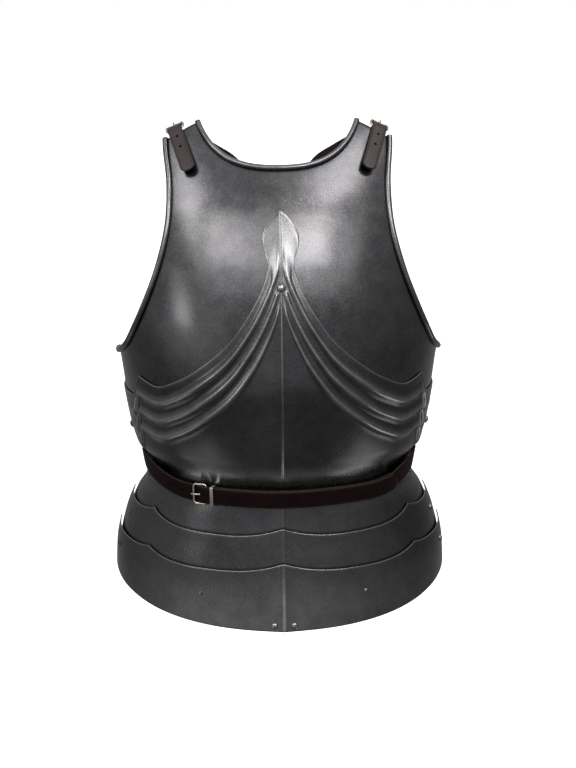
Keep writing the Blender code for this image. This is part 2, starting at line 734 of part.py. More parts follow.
def bend(x, height):
    """A place of the strap in the buckle's own axes, and the way out there."""
    full = math.radians(BEND_ANGLE)
    turn = min(max(x - BEND_START, 0.0) / BEND, full)
    past = max(x - BEND_START - BEND * full, 0.0)
    reach = BEND + height
    place = Vector((min(x, BEND_START) + reach * math.sin(turn) + past * math.cos(turn), 0.0,
                    reach * math.cos(turn) - BEND - past * math.sin(turn)))
    return place, Vector((math.sin(turn), 0.0, math.cos(turn)))


def shoulder_frame(side):
    """Axes of a shoulder buckle: the bend leads from them down onto the plate."""
    turn, drop = LANDING
    turned = Matrix.Rotation(math.radians(-90.0 - STRAP_LEAN * side), 4, "Z")
    bent = BEND * math.radians(BEND_ANGLE)
    foot = Matrix.Translation(bend(BEND_START + bent, 0.0)[0])
    foot @= Matrix.Rotation(math.radians(BEND_ANGLE), 4, "Y")
    return frame_at(side * turn, drop, CHAPE_LOW) @ turned @ foot.inverted()


def cross_strap(side, name):
    where = shoulder_frame(side)
    clear = SHOULDER_FRAME / 2 - 2 * WIRE
    normal = where.to_3x3() @ Vector((0, 0, 1))
    stations = []
    bent = BEND * math.radians(BEND_ANGLE)
    marks = [TONGUE_LENGTH, TONGUE_LENGTH - 0.0025, TONGUE_LENGTH - 0.0065, 0.050, 0.035, 0.022]
    marks += [BEND_START + bent * k / 3 for k in (3, 2, 1, 0)]
    marks += [clear, 0.5 * clear, 0.0, -0.5 * clear, -clear, -0.0120]
    for x in marks:
        lift = 0.0012 * ease(BEND_START + bent, TONGUE_LENGTH, x)
        place, out = bend(x, LAYER_STEP * ease(-clear, clear, x) + lift)
        stations.append((where @ place, where.to_3x3() @ out))
    back = []
    for turn, drop, proud in DOWN_BACK:
        lift = CROSS_LIFT * math.exp(-((turn - 180.0) / CROSS_SPREAD) ** 2) if side < 0 else 0.0
        back.append(skin(side * turn, drop, proud + lift))
    bridge = [Vector((side * x, y, z)) for x, y, z in OVER_SHOULDER]
    control = [stations[-1][0]] + bridge + back
    for place in through(control, 44, PLAIN_SCALE)[1:]:
        stations.append((place, strap_facing(place, normal, stations[len(marks) - 1][0])))
    return ribbon(name, stations, STRAP_WIDTH, LEATHER)


def strap_facing(place, normal, start):
    """Which way the strap's outer face looks: as at the buckle first, then off the body."""
    drop = -place.z
    width = read(DROPS, SECTION["half_width"], drop)
    depth = max(read(DROPS, SECTION["back"], drop), 0.02)
    turn = math.degrees(math.atan2(place.x / width, -place.y / depth))
    return normal.lerp(outward(turn, drop), ease(0.010, 0.070, (place - start).length))


CHAPE_LENGTH = 0.0300


def chape_place(where, x):
    """A place on the plate below a point of the strap, and its turn and drop."""
    start = where @ bend(x, 0.0)[0]
    turn, drop = 42.0 if start.x > 0 else -42.0, -start.z
    for _ in range(12):
        here = skin(turn, drop, FIT + LEATHER / 2)
        turn += math.degrees((start.x - here.x) / 0.13) * 0.8
        drop += (here.z - start.z) * 0.8
    return turn, drop


def make_chape(side, name):
    where = shoulder_frame(side)
    first = SHOULDER_FRAME / 2 + 2 * FIT
    stations = []
    landing = BEND_START + BEND * math.radians(BEND_ANGLE)
    for x in [first + (landing - first) * k / 2 for k in range(3)]:
        place, out = bend(x, 0.0)
        stations.append((where @ place, where.to_3x3() @ out))
    for x in [landing + (first + CHAPE_LENGTH - landing) * k / 4 for k in range(1, 5)]:
        turn, drop = chape_place(where, x)
        stations.append((skin(turn, drop, FIT + LEATHER / 2 + 0.0002), outward(turn, drop)))
    return ribbon(name, stations, STRAP_WIDTH - 0.001, LEATHER, (0.75, 1.0))


def make_shoulder(side, label, breast):
    strap = cross_strap(side, "cross_strap_" + label)
    chape = make_chape(side, "chape_" + label)
    where = shoulder_frame(side)
    buckle_frame("shoulder_buckle_" + label, tilted(where, SHOULDER_FRAME), SHOULDER_FRAME, SHOULDER_HEIGHT)
    prong("shoulder_prong_" + label, tilted(where, SHOULDER_FRAME), SHOULDER_FRAME)
    slot(strap, where)
    turn, drop = chape_place(where, SHOULDER_FRAME / 2 + 0.72 * CHAPE_LENGTH)
    rivet_place, depth = pierce(chape, breast, turn, drop, 0.0036)
    make_rivet("chape_rivet_" + label, rivet_place, depth, 0.0036, 0.0010, SHANK)
    for plate_piece in (chape, breast):
        drill(plate_piece, rivet_place, SHANK + HOLE_ROOM, 0.006)
    return strap


# ---- rivets through the plates -----------------------------------------------------------------
def pierce(outer, inner, turn, drop, head):
    """The frame of a rivet whose head clears its outer plate, and the way through to the inner one."""
    body = frame_at(turn, drop, 0.0)
    out = body.to_3x3() @ Vector((0, 0, 1))
    top, normal, _, _ = faces_of(outer).ray_cast(body.translation + PROBE * out, -out)
    where = upright(top, normal)
    high = max(reach(outer, where, head, 1.0))
    low = min(reach(inner, where, TAIL, -1.0))
    where.translation = top + high * normal
    return where, high - low


PROBE = 0.030           # a probe starts this far off the plates
TAIL = 1.5 * SHANK      # radius of the clenched end


def reach(piece, where, radius, side):
    """Heights at which probes round a circle and at its middle meet the piece, from one side."""
    faces = faces_of(piece)
    spots = [(0.0, 0.0)] + [(radius * math.cos(k * math.pi / 4), radius * math.sin(k * math.pi / 4))
                            for k in range(8)]
    back = where.inverted()
    normal = where.to_3x3() @ Vector((0, 0, 1))
    found = []
    for x, y in spots:
        start = where @ Vector((x, y, side * PROBE))
        hit, _, _, _ = faces.ray_cast(start, -side * normal)
        if hit:
            found.append((back @ hit).z)
    return found


def faces_of(piece):
    mesh = piece.data
    return BVHTree.FromPolygons([v.co for v in mesh.vertices], [f.vertices for f in mesh.polygons])


RIVET_COLUMNS = ("name", "turn", "drop", "outer", "inner", "head", "look")
RIVETS = (
    ("side_rivet", 79.0, 0.3630, "plackart", "cross_strap", 0.0046, STEEL),
    ("waist_rivet", 79.0, 0.4290, "waist_lame", "plackart", 0.0032, STEEL),
    ("middle_rivet", PIVOT_TURN, pivot_drop("middle_lame"), "middle_lame", "waist_lame", HEAD, STEEL),
    ("lower_rivet", PIVOT_TURN, pivot_drop("lower_lame"), "lower_lame", "middle_lame", HEAD, STEEL),
    ("lining_rivet", 29.0, 0.5425, "lower_lame", "lower_lame", 0.0027, STEEL),
    ("hem_rivet", 3.2, 0.5735, "lower_lame", "lower_lame", 0.0036, BRIGHT),
)


def make_rivets(pieces, straps):
    """The paired rivets of the table and the dome rivet; gives each rivet with its frame."""
    made = {}
    for row in RIVETS:
        rivet = dict(zip(RIVET_COLUMNS, row))
        for side, label in ((1, "left"), (-1, "right")):
            outer = pieces[rivet["outer"]]
            # each strap crosses the back, so its end is at the other side
            inner = straps[-side] if rivet["inner"] == "cross_strap" else pieces[rivet["inner"]]
            where, depth = pierce(outer, inner, side * rivet["turn"], rivet["drop"], rivet["head"])
            holed = [outer] if inner is outer else [outer, inner]
            if rivet["inner"] == "cross_strap":
                holed.append(pieces["breastplate"])
            flush = inner is outer
            name = rivet["name"] + "_" + label
            made[name] = (make_rivet(name, where, depth - (3 * FIT if flush else 0.0), rivet["head"],
                                     0.55 * rivet["head"], SHANK, rivet["look"], tail=not flush), where)
            for piece in holed:
                drill(piece, where, SHANK + HOLE_ROOM, depth)
    where, depth = pierce(pieces["plackart"], pieces["breastplate"], 0.0, RIVET_DROP, SHANK)
    make_rivet("finial_rivet", where, depth, DOME, 0.0032, SHANK, BRIGHT)
    for name in ("plackart", "breastplate"):
        drill(pieces[name], where, SHANK + HOLE_ROOM, depth)
    return made


def hinge(name, rivet_frame, parent=None):
    """An empty on the line through a lame's two side rivets, which the lame turns about."""
    place = rivet_frame.translation
    pivot = bpy.data.objects.new(name, None)
    bpy.context.scene.collection.objects.link(pivot)
    pivot.location = (0.0, place.y, place.z)
    if parent:
        pivot.parent = parent
        pivot.location -= parent.location
    return pivot


def hang(piece, pivot, origin):
    piece.parent = pivot
    piece.matrix_parent_inverse = Matrix.Translation(-origin)


def main():
    clear_scene()
    pieces = {"breastplate": make_breastplate(), "plackart": make_plackart()}
    pieces.update({row[0]: make_lame(row) for row in LAMES})
    make_belt_fittings(make_belt())
    straps = {side: make_shoulder(side, label, pieces["breastplate"])
              for side, label in ((1, "left"), (-1, "right"))}
    rivets = make_rivets(pieces, straps)
    middle = hinge("middle_hinge", rivets["middle_rivet_left"][1])
    lower = hinge("lower_hinge", rivets["lower_rivet_left"][1], middle)
    origins = {middle: middle.location.copy(), lower: middle.location + lower.location}
    riding = {
        middle: [pieces["middle_lame"]] + [rivets["lower_rivet" + end][0] for end in ENDS],
        lower: [pieces["lower_lame"]] + [rivets[kind + end][0] for kind in ("lining_rivet", "hem_rivet")
                                         for end in ENDS],
    }
    for pivot, ridden in riding.items():
        for piece in ridden:
            hang(piece, pivot, origins[pivot])


ENDS = ("_left", "_right")

main()
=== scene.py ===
# %% [markdown]
# # A steel breastplate
# This lesson dresses a packed CAD harness: a breastplate with rolled edges, a fluted plackart over
# its lower half, a fauld of three lames, a waist belt and two shoulder straps that cross behind.
# The CAD bodies stay the frame that everything rides on, so they are loaded first.

# %% Load the frame
import math

import bmesh
import bpy
import numpy as np
from mathutils import Matrix, Vector
from mathutils.bvhtree import BVHTree


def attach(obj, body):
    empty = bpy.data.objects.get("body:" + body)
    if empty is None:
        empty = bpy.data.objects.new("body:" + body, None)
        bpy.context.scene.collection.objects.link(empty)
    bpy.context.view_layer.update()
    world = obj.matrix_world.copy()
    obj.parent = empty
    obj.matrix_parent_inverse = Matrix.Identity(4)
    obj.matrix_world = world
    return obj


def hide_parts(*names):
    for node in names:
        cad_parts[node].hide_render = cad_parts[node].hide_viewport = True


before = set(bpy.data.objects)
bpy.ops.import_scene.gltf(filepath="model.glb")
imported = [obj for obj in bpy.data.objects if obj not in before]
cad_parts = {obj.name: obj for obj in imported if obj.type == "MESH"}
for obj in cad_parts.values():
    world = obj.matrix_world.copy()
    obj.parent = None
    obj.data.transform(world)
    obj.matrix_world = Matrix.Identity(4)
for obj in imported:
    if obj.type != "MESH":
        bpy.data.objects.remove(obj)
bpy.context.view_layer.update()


def put(name, data):
    """A new object in the scene."""
    made = bpy.data.objects.new(name, data)
    bpy.context.scene.collection.objects.link(made)
    return made


# %% [markdown]
# ## Camera
# The harness is seen from a little above its middle and almost straight ahead, through a long lens,
# so its sides stay nearly parallel. The camera comes first, because every look depends on it.

# %% Camera
LOOK_AT = Vector((0.0, 0.0, -0.31))
CAMERA_FAR = 2.5
CAMERA_RISE = math.radians(13.0)
CAMERA_TURN = math.radians(1.6)
CAMERA_ROLL = math.radians(-0.45)

back = Vector((-math.sin(CAMERA_TURN) * math.cos(CAMERA_RISE),
               -math.cos(CAMERA_TURN) * math.cos(CAMERA_RISE), math.sin(CAMERA_RISE)))
level = (-back).cross(Vector((0, 0, 1))).normalized()
upright = level.cross(-back)
camera_right = level * math.cos(CAMERA_ROLL) + upright * math.sin(CAMERA_ROLL)
camera_up = upright * math.cos(CAMERA_ROLL) - level * math.sin(CAMERA_ROLL)
camera_data = bpy.data.cameras.new("camera")
camera_data.lens = 96.06
camera_data.sensor_width = 36.0
camera_data.shift_x = 0.0126
camera_data.shift_y = -0.0156
camera = put("camera", camera_data)
camera.matrix_world = (Matrix.Translation(LOOK_AT + CAMERA_FAR * back)
                       @ Matrix((camera_right, camera_up, back)).transposed().to_4x4())
bpy.context.scene.camera = camera
print("camera at", tuple(round(c, 3) for c in camera.location))

# %% [markdown]
# ## Arithmetic on sockets
# Shader and geometry trees do their sums with Math nodes, which are slow to read when each is
# written out. A small class wraps an output, so that a plain Python expression adds the nodes.

# %% Socket arithmetic
class Socket:
    """The output of a node; + - * / and ** on it add Math nodes."""

    def __init__(self, tree, output):
        self.tree = tree
        self.output = output

    def other(self, name):
        return Socket(self.tree, self.output.node.outputs[name])

    def sum(self, operation, a, b=None, c=None):
        values = {k: v for k, v in enumerate((a, b, c)) if v is not None}
        return self.tree.node("ShaderNodeMath", {"operation": operation}, values)

    def __add__(self, b):
        return self.sum("ADD", self, b)

    def __radd__(self, a):
        return self.sum("ADD", a, self)

    def __sub__(self, b):
        return self.sum("SUBTRACT", self, b)

    def __rsub__(self, a):
        return self.sum("SUBTRACT", a, self)

    def __mul__(self, b):
        return self.sum("MULTIPLY", self, b)

    def __rmul__(self, a):
        return self.sum("MULTIPLY", a, self)

    def __truediv__(self, b):
        return self.sum("DIVIDE", self, b)

    def __pow__(self, b):
        return self.sum("POWER", self, b)

    def __rpow__(self, a):
        return self.sum("POWER", a, self)

    def sin(self):
        return self.sum("SINE", self)

    def cos(self):
        return self.sum("COSINE", self)

    def at_least(self, b):
        return self.sum("MAXIMUM", self, b)

    def at_most(self, b):
        return self.sum("MINIMUM", self, b)

    def clamped(self):
        return self.at_least(0.0).at_most(1.0)

    def step(self, low, high):
        """0 below low, 1 above high and smooth between."""
        return self.tree.node("ShaderNodeMapRange", {"interpolation_type": "SMOOTHSTEP"},
                              {0: self, 1: low, 2: high, 3: 0.0, 4: 1.0})


class Tree:
    """A node tree whose nodes are added by type, settings and socket values."""

    def __init__(self, nodes):
        self.nodes = nodes

    def node(self, kind, settings=None, inputs=None, out=0):
        made = self.nodes.nodes.new(kind)
        for name, value in (settings or {}).items():
            setattr(made, name, value)
        self.plug(made, inputs or {})
        return Socket(self, made.outputs[out])

    def plug(self, made, inputs):
        """Set a node's sockets to values, or link them."""
        for key, value in inputs.items():
            if isinstance(value, Socket):
                self.nodes.links.new(value.output, made.inputs[key])
            else:
                made.inputs[key].default_value = value

    def noise(self, place, scale, detail=3.0, roughness=0.5):
        return self.node("ShaderNodeTexNoise", {},
                         {"Vector": place, "Scale": scale, "Detail": detail, "Roughness": roughness})

    def bump(self, strength, distance, height):
        return self.node("ShaderNodeBump", {},
                         {"Strength": strength, "Distance": distance, "Height": height})

    def mix(self, factor, first, second):
        """A colour between two, of which each may be a link."""
        return self.node("ShaderNodeMix", {"data_type": "RGBA"}, {0: factor, 6: first, 7: second}, 2)

    def attribute(self, name):
        return self.node("ShaderNodeAttribute", {"attribute_name": name}, {}, "Fac")


print("operators ready:", [name for name in vars(Socket) if name.startswith("__r")])

# %% [markdown]
# ## Finishes
# The plates are steel that was blackened and then brushed back, so they are dark with soft cloudy
# patches, a fine grain, and bright metal wherever a hand or the next plate rubs: on cut edges,
# ridges and rolls. Points of the mesh carry how worn they are, plus a painted highlight above the belt,
# and how much black and painted shade they hold; the finish reads that, because no pattern in space
# alone could know where an edge is.

# %% Metal finishes
BARE_AND_PAINTED_LIGHT = (0.36, 0.355, 0.35, 1.0)         # steel with its black rubbed off; also the painted highlight above the belt
BLACK_AND_SHADE = (0.018, 0.017, 0.018, 1.0)       # black left in hollows, and painted shade in corners, beside rolls and under edges
OILED = (1.00, 1.00, 0.95, 1.0)         # the tint of the oil where it lies thicker
TARNISH_AND_SHADE = (0.20, 0.18, 0.15, 1.0)
#               scale, detail, roughness
CLOUD = (9.0, 3.0, 0.55)
TEMPER = (17.0, 3.0, 0.60)
MOTTLE = (60.0, 5.0, 0.62)
GRAIN = (480.0, 3.0, 0.75)
FINE_GRAIN = (1300.0, 2.0, 0.65)


def new_material(name):
    """A material, its tree, its shader and a place on the piece."""
    made = bpy.data.materials.new(name)
    made.use_nodes = True
    tree = Tree(made.node_tree)
    place = tree.node("ShaderNodeTexCoord", {}, {}, "Object")
    return made, tree, made.node_tree.nodes["Principled BSDF"], place


def tinted(colour, tint):
    return tuple(np.multiply(colour, tint))


def dark_steel(name, dark, light, rough):
    """Blackened, brushed steel whose worn places are bare, with painted light and shade where marked."""
    made, tree, shader, place = new_material(name)
    cloud = tree.noise(place, *CLOUD)
    mottle = tree.noise(place, *MOTTLE)
    grain = tree.noise(place, *GRAIN)
    fine = tree.noise(place, *FINE_GRAIN)
    worn = tree.attribute("worn")
    hollow = tree.attribute("hollow")
    tone = (0.44 * cloud.step(0.32, 0.68) + 0.30 * mottle.step(0.25, 0.75) + 1.2 * (grain - 0.5)
            + 0.5 * (fine - 0.5) + 0.20).clamped()
    temper = tree.noise(place, *TEMPER).step(0.38, 0.62)
    patina = tree.mix(temper, tree.mix(tone, dark, light),
                      tree.mix(tone, tinted(dark, OILED), tinted(light, OILED)))
    # bare steel where worn, and a painted highlight where one is marked, above the belt
    rub_and_light = (worn * (0.45 + 1.1 * mottle) * (1.0 + 0.6 * (grain - 0.5))).clamped()
    rubbed = tree.mix(rub_and_light, patina, BARE_AND_PAINTED_LIGHT)
    # black left in hollows, and painted shade in corners and under edges
    with_black_and_shade = tree.mix((hollow * (0.75 + 0.4 * mottle)).clamped(), rubbed, BLACK_AND_SHADE)
    roughness = rough + 0.08 * (mottle - 0.5) + 0.16 * (grain - 0.5) + 0.10 * hollow
    height = (0.8 * grain + 0.6 * fine) * (1.0 - 0.85 * worn.clamped())
    tree.plug(shader, {"Base Color": with_black_and_shade, "Roughness": roughness.clamped(), "Metallic": 1.0,
                       "Normal": tree.bump(0.06, 0.0006, height)})
    return made


def bright_steel(name, colour, rough, scratch):
    """Plated or polished steel, with a haze of fine scratches, a little tarnish, and painted shade where
    marked, as round a rivet's rim.
    """
    made, tree, shader, place = new_material(name)
    haze = tree.noise(place, 900.0, 4.0, 0.7)
    tarnish = tree.noise(place, 240.0, 4.0, 0.6)
    hollow = tree.attribute("hollow")
    # random tarnish, plus painted shade where marked, as round a rivet's rim
    dull_and_shade = (tarnish.step(0.48, 0.78) * 0.75 + hollow * 0.8).clamped()
    roughness = rough + 0.22 * (haze - 0.5)
    tree.plug(shader, {"Base Color": tree.mix(dull_and_shade, colour, TARNISH_AND_SHADE), "Roughness": roughness.clamped(),
                       "Metallic": 1.0, "Normal": tree.bump(scratch, 0.0002, haze)})
    return made


STEEL = dark_steel("blackened_steel", (0.040, 0.0388, 0.0432, 1), (0.107, 0.1042, 0.1085, 1), 0.24)
RIVET_STEEL = dark_steel("worn_rivet_steel", (0.10, 0.10, 0.10, 1), (0.26, 0.255, 0.25, 1), 0.30)
DOME_STEEL = bright_steel("polished_dome_steel", (0.20, 0.20, 0.20, 1), 0.20, 0.10)
NICKEL = bright_steel("nickel_plate", (0.44, 0.41, 0.36, 1), 0.24, 0.18)
print("metals made:", [m.name for m in (STEEL, RIVET_STEEL, DOME_STEEL, NICKEL)])

# %% [markdown]
# The leather is dark and waxed, with a fine pebbled grain, a crease pressed along each edge and
# paler raw fibre on its cut edges.

# %% Leather finishes
CREASED = (0.006, 0.004, 0.004, 1.0)    # wax pressed dark into a crease


def leather(name, dark, light, raw, rough, gloss):
    made, tree, shader, place = new_material(name)
    pebble = tree.node("ShaderNodeTexVoronoi", {"feature": "SMOOTH_F1"},
                       {"Vector": place, "Scale": 950.0, "Smoothness": 0.6})
    patch = tree.noise(place, 38.0, 4.0, 0.6)
    fibre = tree.noise(place, 520.0, 4.0, 0.65)
    cut = tree.attribute("cut")
    crease = tree.attribute("crease")
    hide = tree.mix((0.5 * patch.step(0.30, 0.72) + 0.6 * (fibre - 0.3)).clamped(), dark, light)
    rubbed = tree.mix((cut * (0.55 + 0.7 * fibre)).clamped(), hide, raw)
    creased = tree.mix((crease * 0.75).clamped(), rubbed, CREASED)
    roughness = rough + 0.25 * (fibre - 0.5) + 0.15 * cut
    tree.plug(shader, {"Base Color": creased, "Roughness": roughness.clamped(),
                       "Normal": tree.bump(0.35, 0.0004, 0.55 * pebble + 0.7 * fibre),
                       "Specular IOR Level": gloss})
    return made


BELT_HIDE = leather("belt_hide", (0.0022, 0.0006, 0.0007, 1), (0.0064, 0.0020, 0.0020, 1),
                    (0.026, 0.018, 0.015, 1), 0.50, 0.045)
STRAP_HIDE = leather("strap_hide", (0.0090, 0.0036, 0.0036, 1), (0.019, 0.0090, 0.0086, 1),
                     (0.0070, 0.0045, 0.0045, 1), 0.36, 0.34)
print("leathers made:", BELT_HIDE.name, STRAP_HIDE.name)

# %% [markdown]
# ## The body under the plates
# Every plate is raised over one body. At each drop below the shoulders a level section is a rounded
# oval with a keel down the front. A table gives the ovals, and a smooth curve that never overshoots
# joins them, so a place on the body is a turn round it and a drop.

# %% The body's surface
#        drop, half width, front, back, squareness, keel
SECTIONS = np.array((
    (-0.020, 0.1500, 0.020, 0.004, 2.00, 0.000),
    (0.000, 0.1600, 0.045, 0.012, 2.00, 0.000),
    (0.050, 0.1780, 0.088, 0.040, 2.05, 0.000),
    (0.100, 0.1900, 0.120, 0.072, 2.10, 0.001),
    (0.160, 0.1965, 0.146, 0.095, 2.15, 0.002),
    (0.230, 0.1975, 0.163, 0.101, 2.20, 0.003),
    (0.290, 0.1895, 0.168, 0.098, 2.20, 0.004),
    (0.335, 0.1833, 0.162, 0.093, 2.15, 0.004),
    (0.380, 0.1735, 0.150, 0.088, 2.10, 0.004),
    (0.412, 0.1565, 0.137, 0.084, 2.05, 0.004),
    (0.430, 0.1565, 0.134, 0.084, 2.05, 0.004),
    (0.450, 0.1680, 0.137, 0.088, 2.05, 0.004),
    (0.480, 0.1800, 0.143, 0.093, 2.05, 0.004),
    (0.520, 0.1880, 0.154, 0.098, 2.05, 0.004),
    (0.600, 0.1905, 0.170, 0.104, 2.05, 0.004),
))
KEEL_REACH = 0.018      # how far the keel's rise spreads to each side
SOFT_REACH = 0.045      # and under a stiff strap, which bridges it
DEGREE = 0.0030         # about the length of one degree of turn
NEARBY = (0.2, 0.001)   # steps of turn and drop that measure a slope


def ease(low, high, value):
    part = np.clip((np.asarray(value, float) - low) / (high - low), 0.0, 1.0)
    return part * part * (3.0 - 2.0 * part)


def read(xs, ys, x):
    """A smooth curve through points that never overshoots them."""
    xs, ys, x = np.asarray(xs, float), np.asarray(ys, float), np.asarray(x, float)
    step = np.diff(xs)
    rate = np.diff(ys) / step
    slope = np.concatenate(([rate[0]], np.zeros(len(xs) - 2), [rate[-1]]))
    for k in range(1, len(xs) - 1):
        if rate[k - 1] * rate[k] > 0.0:
            before, after = 2.0 * step[k] + step[k - 1], step[k] + 2.0 * step[k - 1]
            slope[k] = (before + after) / (before / rate[k - 1] + after / rate[k])
    x = np.clip(x, xs[0], xs[-1])
    k = np.clip(np.searchsorted(xs, x) - 1, 0, len(xs) - 2)
    t, rise = (x - xs[k]) / step[k], ys[k + 1] - ys[k]
    lead, tail = step[k] * slope[k], step[k] * slope[k + 1]
    return ys[k] + t * lead + t * t * (3 * rise - 2 * lead - tail) + t ** 3 * (lead + tail - 2 * rise)


def bare_skin(turn, drop, soft=False):
    """The point of the body at a turn from the front, in degrees, and a drop."""
    turn, drop = np.broadcast_arrays(np.asarray(turn, float), np.asarray(drop, float))
    width, front, rear, square, keel = (read(SECTIONS[:, 0], SECTIONS[:, k], drop) for k in range(1, 6))
    side, ahead = np.sin(np.radians(turn)), np.cos(np.radians(turn))
    x = np.sign(side) * width * np.abs(side) ** (2.0 / square)
    depth = np.where(ahead < 0.0, rear, -front) * np.abs(ahead) ** (2.0 / square)
    rise = np.exp(-(x / SOFT_REACH) ** 2) if soft else np.exp(-np.abs(x) / KEEL_REACH)
    return np.stack([x, np.where(ahead < 0.0, depth, depth - keel * rise), -drop], -1)


def unit(v):
    return v / np.maximum(np.linalg.norm(v, axis=-1, keepdims=True), 1e-12)


def outward(turn, drop, soft=False):
    """The way out of the body there, square to it."""
    turn, drop = np.asarray(turn, float), np.asarray(drop, float)
    across = bare_skin(turn + NEARBY[0], drop, soft) - bare_skin(turn - NEARBY[0], drop, soft)
    down = bare_skin(turn, drop + NEARBY[1], soft) - bare_skin(turn, drop - NEARBY[1], soft)
    return unit(np.cross(down, across))


def skin(turn, drop, proud, soft=False):
    """The point that stands proud of the body there."""
    proud = np.asarray(proud, float)
    return bare_skin(turn, drop, soft) + proud[..., None] * outward(turn, drop, soft)


PLAIN = (1.0, 1.0, 1.0)
ROUND_BODY = (DEGREE, 1.0, 1.0)         # lengths along a line of turns and drops


def evenly(line, count, scale=ROUND_BODY):
    """count + 1 evenly spaced points along a line of points."""
    reach = np.concatenate(([0.0], np.cumsum(np.linalg.norm(np.diff(line, axis=0) * scale, axis=1))))
    want = np.linspace(0.0, reach[-1], count + 1)
    return np.stack([np.interp(want, reach, line[:, k]) for k in range(3)], -1)


def through(points, count, scale=ROUND_BODY):
    """The same, on a smooth curve through a few points."""
    p = np.zeros((len(points), 3))
    p[:, :len(points[0])] = points
    ends = np.vstack([2 * p[0] - p[1], p, 2 * p[-1] - p[-2]])
    t = np.linspace(0.0, 1.0, 48, endpoint=False)[:, None]
    fine = [0.5 * (2 * b + (c - a) * t + (2 * a - 5 * b + 4 * c - d) * t * t
                   + (3 * b - a - 3 * c + d) * t ** 3)
            for a, b, c, d in zip(ends, ends[1:], ends[2:], ends[3:])]
    return evenly(np.vstack(fine + [p[-1:]]), count, scale)


waist = bare_skin(np.array([-90.0, 0.0, 90.0]), 0.42)
print("waist width %.3f m, depth of front %.3f m" % (waist[2, 0] - waist[0, 0], -waist[1, 1]))

# %% [markdown]
# ## One rule for every plate
# A plate starts as a closed sheet of no thickness that lies on the body. Each point of it remembers
# which way is out, which face it belongs to, how far the plate stands off there, and where it sits on
# a flute. One Geometry Nodes tree then raises any plate: it lifts the points along that direction by
# the clearance, half the sheet and the flute's rise. Five plates share the rule, and its named inputs
# are the thickness of sheet and the heights a smith would measure.

# %% The tree that raises a plate
SHEET = 0.0015
DENT_SCALE = 16.0       # of the slow unevenness that a hammer leaves


def group(name, inputs):
    """A geometry tree with named inputs; gives the tree, its sockets and their identifiers."""
    nodes = bpy.data.node_groups.new(name, "GeometryNodeTree")
    nodes.interface.new_socket(name="Geometry", in_out="INPUT", socket_type="NodeSocketGeometry")
    ids = {}
    for label, kind, value in inputs:
        made = nodes.interface.new_socket(name=label, in_out="INPUT", socket_type="NodeSocket" + kind)
        if value is not None:
            made.default_value = value
        ids[label] = made.identifier
    nodes.interface.new_socket(name="Geometry", in_out="OUTPUT", socket_type="NodeSocketGeometry")
    tree = Tree(nodes)
    start = tree.node("NodeGroupInput")
    return tree, start, ids


def close(tree, geometry, material):
    """Every tree ends the same way: instances made real, smooth shading and a material."""
    real = tree.node("GeometryNodeRealizeInstances", {}, {0: geometry})
    smooth = tree.node("GeometryNodeSetShadeSmooth", {}, {0: real})
    dressed = tree.node("GeometryNodeSetMaterial", {}, {0: smooth, "Material": material})
    tree.plug(tree.nodes.nodes.new("NodeGroupOutput"), {0: dressed})


def named(tree, name, kind="FLOAT"):
    return tree.node("GeometryNodeInputNamedAttribute", {"data_type": kind}, {"Name": name})


def grow(name, mesh, tree, ids, values):
    """Run a tree over a mesh once and keep the result as a plain object."""
    source = put(name + "_source", mesh)
    modifier = source.modifiers.new("rule", "NODES")
    modifier.node_group = tree.nodes
    for label, value in values.items():
        modifier[ids[label]] = value
    evaluated = source.evaluated_get(bpy.context.evaluated_depsgraph_get())
    result = bpy.data.meshes.new_from_object(evaluated)
    result.name = name
    bpy.data.objects.remove(source, do_unlink=True)
    return put(name, result)


def shift(tree, geometry, direction, amount):
    """Move points by an amount along a direction."""
    move = tree.node("ShaderNodeVectorMath", {"operation": "SCALE"}, {0: direction, "Scale": amount})
    return tree.node("GeometryNodeSetPosition", {}, {0: geometry, "Offset": move})


def mark(tree, geometry, name, value):
    """Store a number on every point."""
    return tree.node("GeometryNodeStoreNamedAttribute", {"data_type": "FLOAT", "domain": "POINT"},
                     {0: geometry, "Name": name, "Value": value})


raise_tree, start, raise_ids = group("raise_plate", (
    ("Sheet", "Float", SHEET), ("Clearance", "Float", 0.0), ("Flute rise", "Float", 0.0),
    ("Bead rise", "Float", 0.0), ("Unevenness", "Float", 0.0), ("Material", "Material", None)))
place = raise_tree.node("GeometryNodeInputPosition")
dents = raise_tree.noise(place, DENT_SCALE, 2.0)
lift = (start.other("Clearance") + start.other("Sheet") * 0.5 * (1.0 + named(raise_tree, "face"))
        + named(raise_tree, "stand") + named(raise_tree, "flute") * start.other("Flute rise")
        + named(raise_tree, "bead") * start.other("Bead rise")
        + (dents - 0.5) * start.other("Unevenness"))
raised = shift(raise_tree, start, named(raise_tree, "out", "FLOAT_VECTOR"), lift)
close(raise_tree, raised, start.other("Material"))
print("raise_plate takes", sorted(raise_ids))

# %% [markdown]
# A plate's cut edge is filed round, which is what catches the light along every lame. The grid of a
# plate gets a few extra lines just inside its rim, and there its two faces close on each other in a
# half circle. Points near the rim are also marked as worn.

# %% Sheets with rounded rims
RIM = 0.0007            # the rounding of a cut edge reaches this far in
RIM_LINES = (0.0, 0.12, 0.45, 1.0)      # shares of that at which the lines run
RIM_MOST = 0.8          # and the most of the first cell it may take
RIM_WEAR, RIM_FLAT, WEAR_REACH = 0.60, 0.0002, 0.0006   # how rubbed a rim is, and how that fades inwards


def metres(a, b):
    """About how far apart two places are."""
    gap = (b - a)[..., :2] * ROUND_BODY[:2]
    return np.maximum(np.linalg.norm(gap, axis=-1, keepdims=True), 1e-6)


